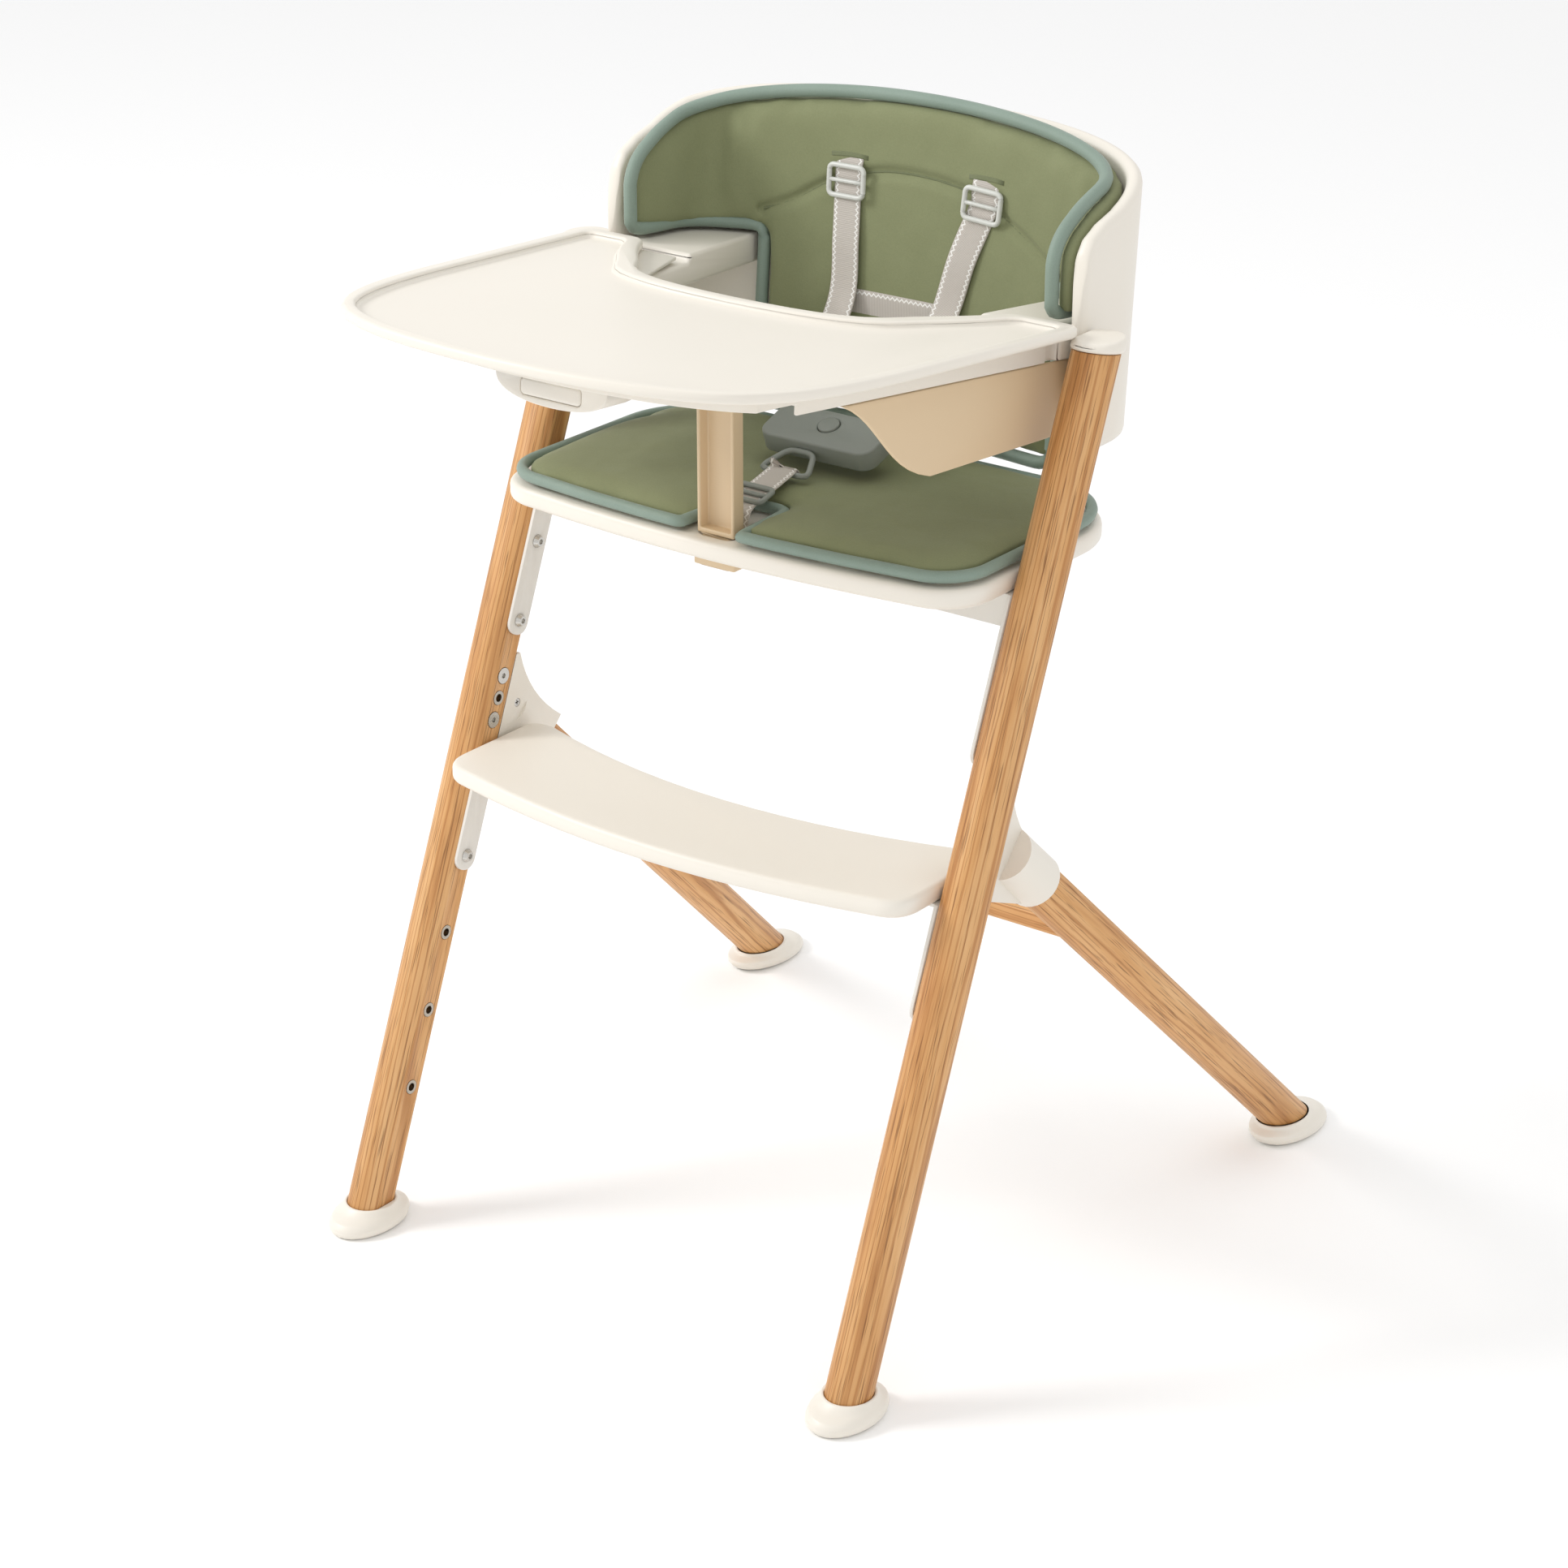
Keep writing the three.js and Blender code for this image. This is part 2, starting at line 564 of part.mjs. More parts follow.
for (const { name, side } of SIDES) {
  part(frame, `rear_leg_${name}`, rearLeg(side), WOOD);
  part(frame, `leg_connector_${name}`, connector(side), WHITE);
  part(frame, `connector_screw_${name}`, crossScrew(side), STAINLESS, SCREW_AT.clone().setX(side * (flatX + 0.8)));
}

function stretcher() {
  const half = rearPoint(stretcherT).x;
  const bar = moved(
    slab(roundedRect(STRETCHER_DEEP, STRETCHER_TALL, 4), -half, half, 4),
    shifted(0, stretcherY, STRETCHER_HEIGHT).multiply(drawnOn(Y, Z, X)),
  );
  const legs = SIDES.map(({ side }) => {
    const foot = v3(side * REAR_LEG_FLOOR.x, REAR_LEG_FLOOR.y, 0);
    return rod(legRadius + GAP, rearLength, foot, v3(side * rearAxis.x, rearAxis.y, rearAxis.z), 28);
  });
  const tenonReach = half - legRadius + TENON_LENGTH - 4;
  const tenon = rod(TENON_DIAMETER / 2, 2 * tenonReach, v3(-tenonReach, stretcherY, STRETCHER_HEIGHT), X);
  return join(cut(bar, ...legs), tenon);
}

part(frame, "rear_stretcher", stretcher(), WOOD);

// ---------------------------------------------------------------- seat plate, footrest and their brackets

const plateHalf = flatX - SEAT_SIDE_CLEARANCE;

function seatOutline(margin = 0, rear = SEAT_REAR - margin) {
  const half = plateHalf - margin;
  const front = SEAT_FRONT + SEAT_BOW + margin;
  const r = SEAT_CORNER - margin / 2;
  const q = SEAT_REAR_CORNER - margin;
  const shape = new THREE.Shape();
  shape.moveTo(-half + r, front);
  shape.quadraticCurveTo(0, front - 2 * SEAT_BOW, half - r, front);
  shape.absarc(half - r, front + r, r, -PI / 2, 0);
  shape.lineTo(half, rear - q);
  shape.absarc(half - q, rear - q, q, 0, PI / 2);
  shape.lineTo(-half + q, rear);
  shape.absarc(-half + q, rear - q, q, PI / 2, PI);
  shape.lineTo(-half, front + r);
  shape.absarc(-half + r, front + r, r, PI, 1.5 * PI);
  return shape;
}

function footrestOutline() {
  const r = FOOTREST_CORNER;
  const sideFront = FOOTREST_FRONT + FOOTREST_BOW;
  const middleRear = FOOTREST_FRONT + FOOTREST_DEPTH;
  const sideRear = middleRear + FOOTREST_REAR_BOW;
  const inner = plateHalf - r;
  const shape = new THREE.Shape();
  shape.moveTo(-inner, sideFront - 4);
  shape.quadraticCurveTo(0, FOOTREST_FRONT - FOOTREST_BOW + 4, inner, sideFront - 4);
  shape.quadraticCurveTo(plateHalf, sideFront, plateHalf, sideFront + r);
  shape.lineTo(plateHalf, sideRear - r + 6);
  shape.quadraticCurveTo(plateHalf, sideRear, inner, sideRear - 3);
  shape.quadraticCurveTo(0, middleRear - FOOTREST_REAR_BOW + 3, -inner, sideRear - 3);
  shape.quadraticCurveTo(-plateHalf, sideRear, -plateHalf, sideRear - r + 6);
  shape.lineTo(-plateHalf, sideFront + r);
  shape.quadraticCurveTo(-plateHalf, sideFront, -inner, sideFront - 4);
  return shape;
}

// A bracket: a flange under the plate, and a strip down each leg's flat with two bolt holes.
function bracket(plateBottom, bolts, apronDrop) {
  const top = plateBottom - GAP;
  const at = legAtHeight(plateBottom);
  const outer = flatX - GAP;
  const flange = block(-outer, outer, at - STRIP_WIDTH / 2, at - STRIP_WIDTH / 2 + FLANGE_DEPTH, top - STEEL, top);
  const pieces = [flange];
  if (apronDrop) {
    const apronY = at - STRIP_WIDTH / 2;
    pieces.push(block(-outer, outer, apronY, apronY + STEEL, top - apronDrop, top));
  }
  const below = block(-outer, outer, -300, 900, 0, top);
  for (const { side } of SIDES) {
    const low = bolts[0] - STRIP_PAST_BOLT;
    const high = top / cos(LEG_LEAN) + 20;
    const width = STRIP_WIDTH;
    const outline = roundedRect(width, high - low, width / 2 - 1, 0, (low + high) / 2);
    const strip = slab(outline, 0, STEEL, 6);
    const inward = side > 0 ? -LEG_FLAT - GAP - STEEL : LEG_FLAT + GAP;
    const placed = moved(strip, legFrame(side).multiply(shifted(inward, 0, 0)).multiply(drawnOn(Y, Z, X)));
    pieces.push(common(placed, below));
  }
  const holes = SIDES.flatMap(({ side }) =>
    bolts.map((s) => moved(intoFlat(side, s, BOLT_THREAD / 2 + GAP, -STEEL - 2, 1), legFrame(side))),
  );
  return cut(join(...pieces), ...holes);
}

function boltsOf(parent, label, bolts) {
  for (const { name, side } of SIDES) {
    const leg = group(parent, v3(side * legX, 0, 0), -LEG_LEAN);
    bolts.forEach((s, i) => {
      const head = v3(-side * (LEG_FLAT + GAP + STEEL + GAP), 0, s);
      part(leg, `${label}_bolt_${name}_${i + 1}`, buttonBolt(side), STAINLESS, head);
    });
  }
}

const seat = group(chair);
const seatBottom = SEAT_TOP - SEAT_THICKNESS;
const postMiddle = POST_FRONT + POST_DEPTH / 2;
const strapSlotY = POST_FRONT + POST_DEPTH + 12;
const PEG_WIDTH = 26;
const PEG_DEPTH = 12;

const postHole = block(
  -PEG_WIDTH / 2 - GAP, PEG_WIDTH / 2 + GAP, postMiddle - PEG_DEPTH / 2 - GAP, postMiddle + PEG_DEPTH / 2 + GAP, 0, 900,
);
const strapHole = block(-WEBBING / 2 - 2, WEBBING / 2 + 2, strapSlotY - 3, strapSlotY + 3, 0, 900);
part(seat, "seat_plate", cut(slab(seatOutline(), seatBottom, SEAT_TOP, 8), postHole, strapHole), WHITE);
part(seat, "seat_bracket", bracket(seatBottom, SEAT_BOLTS, APRON_DROP), ENAMEL);
boltsOf(seat, "seat", SEAT_BOLTS);

const footrest = group(chair);
const footrestBottom = FOOTREST_TOP - FOOTREST_THICKNESS;
part(footrest, "footrest_plate", slab(footrestOutline(), footrestBottom, FOOTREST_TOP, 14), WHITE);
part(footrest, "footrest_bracket", bracket(footrestBottom, FOOTREST_BOLTS, 0), ENAMEL);
boltsOf(footrest, "footrest", FOOTREST_BOLTS);

// ---------------------------------------------------------------- back shell

const shellHalf = flatX - SHELL_LEG_CLEARANCE;

// Plan of the shell's skin, inset from its outside: straight sides into a superellipse at the back.
function shellPlan(inset, from = 0, count = 26) {
  const half = shellHalf - inset;
  const deep = SHELL_BACK_DEPTH - inset;
  const power = 2 / SHELL_ROUNDNESS;
  const points = [v2(half, from)];
  for (let i = 0; i <= count; i += 1) {
    const angle = (PI * i) / count;
    const c = cos(angle);
    points.push(v2(half * Math.sign(c) * Math.abs(c) ** power, SHELL_SHOULDER + deep * Math.max(sin(angle), 0) ** power));
  }
  points.push(v2(-half, from));
  return points;
}

const leanBack = new THREE.Matrix4().makeBasis(X, Y, v3(0, SHELL_LEAN, 1)); // y grows with z
const leaning = (geometry) =>
  moved(geometry, shifted(0, -SHELL_LEAN * ARM_TOP, 0).multiply(leanBack));

// The space inside the shell, inset from its outside, as a leaning prism.
const shellCore = (inset, from = -300) => leaning(slab(shellPlan(inset, from), 0, 1200));

// The shell's side view: u is y, v is z. The front edge rises beside the armrest and rolls over into the rim.
function shellSide() {
  const front = SHELL_SHOULDER - 49;
  const middle = SHELL_SHOULDER + SHELL_BACK_DEPTH;
  const rim = (y) => SHELL_TOP + RIM_SLOPE * (y - middle);
  const roll = front + 80;
  const shape = new THREE.Shape();
  shape.moveTo(front, SHELL_BOTTOM);
  shape.lineTo(middle + 40, SHELL_BOTTOM);
  shape.lineTo(middle + 40, rim(middle + 40));
  shape.lineTo(roll, rim(roll));
  shape.quadraticCurveTo(roll - 28, rim(roll) - 9, roll - 50, rim(roll) - 19);
  shape.bezierCurveTo(roll - 68, rim(roll) - 27, front + 4, rim(roll) - 38, front + 2, ARM_TOP + 32);
  shape.lineTo(front, ARM_TOP + 12);
  return shape;
}

function backShell() {
  const wall = cut(shellCore(0, 200), shellCore(SHELL_WALL, 100));
  const side = moved(slab(shellSide(), -400, 400, 8), drawnOn(Y, Z, X));
  const caps = SIDES.map(({ side: s }) => moved(slab(legSection(s, CAP_OVERHANG + 0.8, 0.5), 300, 860, 20), legFrame(s)));
  return cut(common(wall, side), ...caps);
}

part(seat, "back_shell", backShell(), WHITE);

// ---------------------------------------------------------------- armrests and side panels

// In this frame y is 0 at ARM_REAR and negative towards the child's front, and z is 0 at the armrest's top.
const armOrigin = v3(0, ARM_REAR, ARM_TOP);
const armFrame = new THREE.Matrix4().makeTranslation(armOrigin).multiply(new THREE.Matrix4().makeRotationX(-ARM_TILT));
const toArmFrame = armFrame.clone().invert();
const arms = group(chair, armOrigin, -ARM_TILT);
const outerAt = (y) => ARM_OUTER_REAR + ARM_TAPER * y;

// A strip along the armrest between two insets from its outside, from y0 back to y1.
function armStrip(side, inset0, inset1, y0, y1) {
  const corners = [
    [outerAt(y0) - inset1, y0],
    [outerAt(y0) - inset0, y0],
    [outerAt(y1) - inset0, y1],
    [outerAt(y1) - inset1, y1],
  ];
  if (side < 0) corners.reverse();
  return corners.map(([x, y]) => v2(side * x, y));
}

const REACH_BACK = 80;
const shellInside = moved(shellCore(SHELL_WALL + GAP), toArmFrame);

function armrest(side) {
  const pad = slab(armStrip(side, 0, ARM_WIDTH, -PAD_FRONT, REACH_BACK), -ARM_HEIGHT, 0);
  const rail = slab(armStrip(side, RAIL_INSET, ARM_WIDTH, -ARM_LENGTH, -PAD_FRONT + 1), -ARM_HEIGHT, -RAIL_DROP);
  return common(join(pad, rail), shellInside);
}

// The panel's side view in the armrest frame: u is y, v is z.
function panelOutline() {
  const top = -ARM_HEIGHT + 2;
  const bottom = PANEL_BOTTOM - ARM_TOP;
  const rear = REACH_BACK;
  const shape = new THREE.Shape();
  shape.moveTo(-ARM_LENGTH + 14, top);
  shape.bezierCurveTo(-262, top - 10, -264, bottom - 6, -216, bottom - 16);
  shape.lineTo(rear, bottom + 2);
  shape.lineTo(rear, top);
  return shape;
}

function sidePanel(side) {
  const turn = new THREE.Matrix4().makeRotationZ(-side * Math.atan(ARM_TAPER));
  const out = side * (ARM_OUTER_REAR - PANEL_INSET - PANEL_WALL / 2);
  const hinge = shifted(out, 0, -ARM_HEIGHT).multiply(turn);
  const lean = new THREE.Matrix4().makeRotationY(-side * PANEL_LEAN);
  const raised = shifted(-PANEL_WALL / 2, 0, ARM_HEIGHT).multiply(drawnOn(Y, Z, X));
  const leaning = moved(slab(panelOutline(), 0, PANEL_WALL, 12), hinge.multiply(lean).multiply(raised));
  const sheet = common(leaning, block(-400, 400, -400, 200, -200, -ARM_HEIGHT - GAP));
  return common(sheet, shellInside);
}

for (const { name, side } of SIDES) {
  part(arms, `armrest_${name}`, armrest(side), WHITE);
  part(arms, `side_panel_${name}`, sidePanel(side), CREAM);
}

// ---------------------------------------------------------------- tray

const tray = group(arms);
const local = (y) => y - ARM_REAR; // along the tilted plane

// The cover's outline, drawn in by a distance all round.
function trayOutline(d = 0) {
  const front = local(TRAY_FRONT) + d;
  const rear = local(TRAY_REAR) - d;
  const belly = local(TRAY_BELLY) - d;
  const outer = TRAY_HALF_REAR - d;
  const wide = TRAY_HALF_FRONT + 25 - d;
  const shoulder = local(TRAY_FRONT) + 60;
  const inner = TRAY_BELLY_HALF + d;
  const armInner = outer - 62 + 2 * d;
  const r = Math.max(14 - d / 2, 5);
  const half = [
    (s) => s.bezierCurveTo(105, front, TRAY_HALF_FRONT - 20 - d, front + 22, TRAY_HALF_FRONT - d, shoulder),
    (s) => s.bezierCurveTo(TRAY_HALF_FRONT + 17 - d, shoulder + 24, wide, shoulder + 66, wide + 4, shoulder + 112),
    (s) => s.lineTo(outer, rear - r),
    (s) => s.quadraticCurveTo(outer, rear, outer - r, rear),
    (s) => s.lineTo(armInner + r, rear),
    (s) => s.quadraticCurveTo(armInner + 2, rear, armInner - 4, rear - r),
    (s) => s.bezierCurveTo(armInner - 20, rear - 42, inner + 8, belly + 52, inner, belly + 38),
    (s) => s.bezierCurveTo(inner - 16, belly + 8, 66, belly, 0, belly),
  ];
  const path = new THREE.Path();
  path.moveTo(0, front);
  half.forEach((draw) => draw(path));
  const right = path.getPoints(7);
  const left = right.slice(1, -1).reverse().map((p) => v2(-p.x, p.y));
  return [...right, ...left];
}

const coverBottom = GAP;
const coverTop = coverBottom + TRAY_HEIGHT;

function trayCover() {
  const body = slab(trayOutline(), coverBottom, coverTop);
  const recess = slab(trayOutline(TRAY_RIM), coverBottom + TRAY_FLOOR, coverTop + 1);
  return cut(body, recess);
}

// The base's outline, drawn in by a distance: its sides follow the armrests' outsides.
function baseOutline(d = 0, rear = local(BASE_REAR)) {
  const front = local(BASE_FRONT) + d;
  const side = (y) => outerAt(y) - d;
  const corner = local(BASE_FRONT) + 52;
  const shoulder = corner + 42;
  const path = new THREE.Path();
  path.moveTo(0, front);
  path.bezierCurveTo(70, front, 130, front + 12, BASE_HALF_FRONT - 14 - d, corner - 14);
  path.quadraticCurveTo(side(shoulder) - 6, corner + 4, side(shoulder), shoulder);
  path.lineTo(side(rear), rear);
  const right = path.getPoints(8);
  const left = right.slice(1).reverse().map((p) => v2(-p.x, p.y));
  return [...right, ...left];
}

const baseTop = 0;
const skirtBottom = baseTop - BASE_SKIRT;

function trayBase() {
  const whole = slab(baseOutline(), skirtBottom, baseTop);
  const raised = block(-400, 400, local(BASE_FRONT) - 1, local(BASE_FRONT) + BASE_FRONT_DEPTH, -60, baseTop - BASE_FRONT_SKIRT);
  const outline = cut(whole, raised);
  const hollow = slab(baseOutline(BASE_WALL, local(BASE_REAR) + 50), skirtBottom - 1, baseTop - BASE_PLATE);
  const belly = slab(bellyOutline(), skirtBottom - 1, baseTop + 1);
  const overArms = block(-400, 400, local(BASE_REAR) - 1, 200, skirtBottom - 1, 50);
  const handle = slab(releaseOutline(RELEASE_WIDTH / 2), 0, RELEASE_DEPTH, 10);
  const place = shifted(0, releaseFront, releaseTop).multiply(drawnOn(X, Z, Y.clone().negate()));
  const placed = moved(moved(handle, shifted(0, 0, -RELEASE_DEPTH)), place);
  const well = moved(buttonWell(GAP, BUTTON_DEPTH + BUTTON_TRAVEL + GAP), place);
  return cut(join(cut(outline, hollow, belly, overArms), placed), well);
}

const releaseFront = local(RELEASE_FRONT);
const releaseTop = baseTop;

// The space for the child: the belly cut-out, open to the back.
function bellyOutline() {
  const y0 = local(TRAY_BELLY) - 8;
  const inner = TRAY_BELLY_HALF - 6;
  const shape = new THREE.Shape();
  shape.moveTo(0, y0);
  shape.bezierCurveTo(60, y0, inner - 24, y0 + 8, inner - 8, y0 + 34);
  shape.lineTo(TRAY_HALF_REAR - 70, local(TRAY_REAR) + 60);
  shape.lineTo(-TRAY_HALF_REAR + 70, local(TRAY_REAR) + 60);
  shape.lineTo(-inner + 8, y0 + 34);
  shape.bezierCurveTo(-inner + 24, y0 + 8, -60, y0, 0, y0);
  return shape;
}

// The handle's front: straight sides that turn into a half oval below. u is x, v is z.
function releaseOutline(half) {
  const top = -BASE_PLATE + 0.5;
  const low = -RELEASE_DROP;
  const turn = low + RELEASE_ROUND;
  const shape = new THREE.Shape();
  shape.moveTo(-half, top);
  shape.lineTo(-half, turn);
  shape.bezierCurveTo(-half, low + 5, -half * 0.55, low, 0, low);
  shape.bezierCurveTo(half * 0.55, low, half, low + 5, half, turn);
  shape.lineTo(half, top);
  return shape;
}

function buttonWell(grow, deep) {
  const shape = roundedRect(BUTTON_WIDTH + 2 * grow, BUTTON_HEIGHT + 2 * grow, 4 + grow, 0, -BUTTON_CENTRE);
  return moved(slab(shape, 0, deep + 1, 5), shifted(0, 0, -deep));
}

function releaseButton() {
  const place = shifted(0, releaseFront, releaseTop).multiply(drawnOn(X, Z, Y.clone().negate()));
  return moved(buttonWell(0, BUTTON_DEPTH), place);
}

part(tray, "tray_base", trayBase(), WHITE);
part(tray, "tray_release_button", releaseButton(), WHITE);
part(tray, "tray_cover", trayCover(), WHITE);

// ---------------------------------------------------------------- crotch post

function crotchPost() {
  const roof = ARM_TOP + (ARM_REAR - postMiddle) * sin(ARM_TILT) - BASE_SKIRT - POST_TOP_CLEARANCE;
  const half = POST_WIDTH / 2;
  const rear = POST_FRONT + POST_DEPTH;
  const bottom = SEAT_TOP + GAP;
  const channel = block(-half, half, POST_FRONT, rear, bottom, roof);
  const hollow = block(-half + POST_WALL, half - POST_WALL, POST_FRONT - 1, rear - POST_WALL, bottom + 4, roof + 1);
  const peg = block(
    -PEG_WIDTH / 2, PEG_WIDTH / 2, postMiddle - PEG_DEPTH / 2, postMiddle + PEG_DEPTH / 2, seatBottom - 6, bottom + 1,
  );
  return join(cut(channel, hollow), peg);
}

function postClip() {
  const top = seatBottom - GAP;
  const half = POST_WIDTH / 2 + 2;
  const body = block(-half, half, POST_FRONT - 2, POST_FRONT + POST_DEPTH + 2, top - CLIP_HEIGHT, top);
  return cut(body, postHole);
}

part(seat, "crotch_post", crotchPost(), CREAM);
part(seat, "post_clip", postClip(), CREAM);

// ---------------------------------------------------------------- cushions

function seatCushion() {
  const pad = slab(seatOutline(SEAT_CUSHION_MARGIN, SEAT_CUSHION_REAR), SEAT_TOP + GAP, SEAT_TOP + SEAT_CUSHION, 6);
  const front = SEAT_FRONT - 20;
  const notchEnd = SEAT_FRONT + SEAT_CUSHION_MARGIN + NOTCH_DEPTH;
  const notch = new THREE.Shape();
  notch.moveTo(-NOTCH_HALF - 5, front);
  notch.lineTo(NOTCH_HALF + 5, front);
  notch.lineTo(NOTCH_HALF, notchEnd - 12);
  notch.quadraticCurveTo(NOTCH_HALF, notchEnd, NOTCH_HALF - 12, notchEnd);
  notch.lineTo(-NOTCH_HALF + 12, notchEnd);
  notch.quadraticCurveTo(-NOTCH_HALF, notchEnd, -NOTCH_HALF, notchEnd - 12);
  return cut(pad, slab(notch, 0, 900, 5));
}

// The back cushion's front view: u is x, v is z. Its wings pass over the armrests.
function backCushionOutline() {
  const half = BACK_CUSHION_HALF;
  const wing = BACK_CUSHION_WING_HALF;
  const low = SEAT_TOP + SEAT_CUSHION + 3;
  const ledge = ARM_TOP + 10;
  const shape = new THREE.Shape();
  shape.moveTo(-half, low);
  shape.lineTo(half, low);
  shape.lineTo(half, ledge);
  shape.lineTo(wing, ledge + 22);
  shape.bezierCurveTo(wing + 2, BACK_CUSHION_TOP - 40, wing - 26, BACK_CUSHION_TOP - 16, wing - 62, BACK_CUSHION_TOP - 5);
  shape.quadraticCurveTo(0, BACK_CUSHION_TOP + 6, -wing + 62, BACK_CUSHION_TOP - 5);
  shape.bezierCurveTo(-wing + 26, BACK_CUSHION_TOP - 16, -wing - 2, BACK_CUSHION_TOP - 40, -wing, ledge + 22);
  shape.lineTo(-half, ledge);
  return shape;
}

function backCushion() {
  const near = SHELL_WALL + 1;
  const room = cut(shellCore(near), shellCore(near + BACK_CUSHION));
  const face = moved(slab(backCushionOutline(), -600, -300, 8), drawnOn(X, Z, Y.clone().negate()));
  return common(room, face, block(-400, 400, 306, 600, 0, 1200));
}

part(seat, "seat_cushion", seatCushion(), SAGE);
part(seat, "back_cushion", backCushion(), SAGE);

// ---------------------------------------------------------------- harness

const harness = group(seat);
// how far back the cushion's face is at a place across the chair and a height
function cushionFace(x, z) {
  const inset = SHELL_WALL + 1 + BACK_CUSHION;
  const deep = SHELL_BACK_DEPTH - inset;
  const share = Math.min(Math.abs(x) / (shellHalf - inset), 1);
  const bulge = deep * (1 - share ** SHELL_ROUNDNESS) ** (1 / SHELL_ROUNDNESS);
  return SHELL_SHOULDER + bulge + SHELL_LEAN * (z - ARM_TOP);
}

const BUCKLE_AT = v3(2, 298, SEAT_TOP + 41);
const ADJUSTER_HEIGHT = 797;

function shoulderStrap(side) {
  const start = v3(side * SHOULDER_HALF, cushionFace(SHOULDER_HALF, 806) - 2.5, 806);
  const end = BUCKLE_AT.clone().add(v3(side * 30, 26, 22));
  const chest = v3(side * (SHOULDER_HALF - (side > 0 ? 22 : -2)), cushionFace(40, 700) - 12, 706);
  const lap = v3(side * 38, 345, 668);
  const points = smooth([start, v3(side * (SHOULDER_HALF - 2), start.y - 5, 770), chest, lap, end], 14);
  return band(points, () => X.clone());
}

// A three-bar slide: a rounded frame with a middle bar.
function slide(width, height, thickness) {
  const frameShape = roundedRect(width, height, 4);
  for (const y of [-height / 4 + 0.6, height / 4 - 0.6]) {
    const hole = roundedRect(width - 9, height / 2 - 5, 1.2, 0, y);
    frameShape.holes.push(new THREE.Path(hole.getPoints(3)));
  }
  return slab(frameShape, -thickness / 2, thickness / 2, 4);
}

for (const { name, side } of SIDES) {
  part(harness, `shoulder_strap_${name}`, shoulderStrap(side), TAUPE);
  const place = v3(side * SHOULDER_HALF, cushionFace(SHOULDER_HALF, ADJUSTER_HEIGHT) - 9.5, ADJUSTER_HEIGHT);
  const adjuster = part(harness, `strap_adjuster_${name}`, slide(38, 26, 3), PALE_GREY, place);
  adjuster.rotation.x = PI / 2;
}

function waistStrap() {
  const z = ARM_TOP - 44;
  const places = [-68, -40, -12, 16, 44].map((x) => v3(x, cushionFace(x, z) - 2, z));
  return band(smooth(places, 8), () => Z.clone());
}

function buckleBody() {
  const outline = roundedRect(BUCKLE_WIDTH, BUCKLE_HEIGHT, 12);
  return slab(outline, -BUCKLE_DEPTH / 2, BUCKLE_DEPTH / 2, 5);
}

const buckle = group(harness, BUCKLE_AT, 0.35);
const BUCKLE_BUTTON = 17;
const buckleWell = rod(BUCKLE_BUTTON / 2 + GAP, 8, v3(0, 4, BUCKLE_DEPTH / 2 - 6), Z, 24);
part(buckle, "buckle_body", cut(buckleBody(), buckleWell), GREY);
part(buckle, "buckle_button", rod(BUCKLE_BUTTON / 2, 5, v3(0, 4, BUCKLE_DEPTH / 2 - 4), Z, 24), GREY);

// The wire loop that hangs from the buckle and holds the crotch strap.
function crotchLoop() {
  const outer = roundedRect(52, 30, 9);
  outer.holes.push(new THREE.Path(roundedRect(41, 19, 6).getPoints(4)));
  return slab(outer, -2.5, 2.5, 5);
}

part(buckle, "crotch_loop", crotchLoop(), GREY, v3(-8, -BUCKLE_HEIGHT / 2 - 15 - GAP, 0));
part(harness, "waist_strap", waistStrap(), TAUPE);

function crotchStrap() {
  const cushionTop = SEAT_TOP + SEAT_CUSHION;
  const start = v3(0, strapSlotY, seatBottom - 2);
  const points = smooth(
    [start, v3(0, strapSlotY, SEAT_TOP + 6), v3(-1, strapSlotY + 14, cushionTop + 4), v3(-3, strapSlotY + 46, cushionTop + 9)],
    10,
  );
  return band(points, () => X.clone());
}

part(harness, "crotch_strap", crotchStrap(), TAUPE);

// ---------------------------------------------------------------- standing on the floor, centred

chair.updateMatrixWorld(true);
const bounds = new THREE.Box3().setFromObject(chair, true);
const whole = new THREE.Group();
chair.position.set(0, -(bounds.min.y + bounds.max.y) / 2, -bounds.min.z);
whole.add(chair);

export default whole;
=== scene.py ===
"""The looks of a baby high chair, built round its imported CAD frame.

Wooden legs, satin plastic shells, enamelled brackets, sage cushions and a woven harness. Every piece takes
its place from the CAD nodes, rides on the CAD body that carries it, and stands in for the nodes it covers.
Metres, +Z up, the child faces -Y.
"""

import logging
import math
from dataclasses import dataclass, field
from enum import Enum
from typing import Callable, Iterable, Sequence

import bmesh
import bpy
import numpy as np
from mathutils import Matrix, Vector


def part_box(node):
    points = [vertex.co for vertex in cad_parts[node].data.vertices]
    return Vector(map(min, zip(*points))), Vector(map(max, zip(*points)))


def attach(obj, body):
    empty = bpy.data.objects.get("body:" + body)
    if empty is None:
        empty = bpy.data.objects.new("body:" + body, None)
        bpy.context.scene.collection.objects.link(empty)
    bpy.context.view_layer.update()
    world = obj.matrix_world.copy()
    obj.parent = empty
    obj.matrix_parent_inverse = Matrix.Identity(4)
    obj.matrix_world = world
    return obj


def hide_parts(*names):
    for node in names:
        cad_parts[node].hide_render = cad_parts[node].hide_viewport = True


log = logging.getLogger("high_chair")

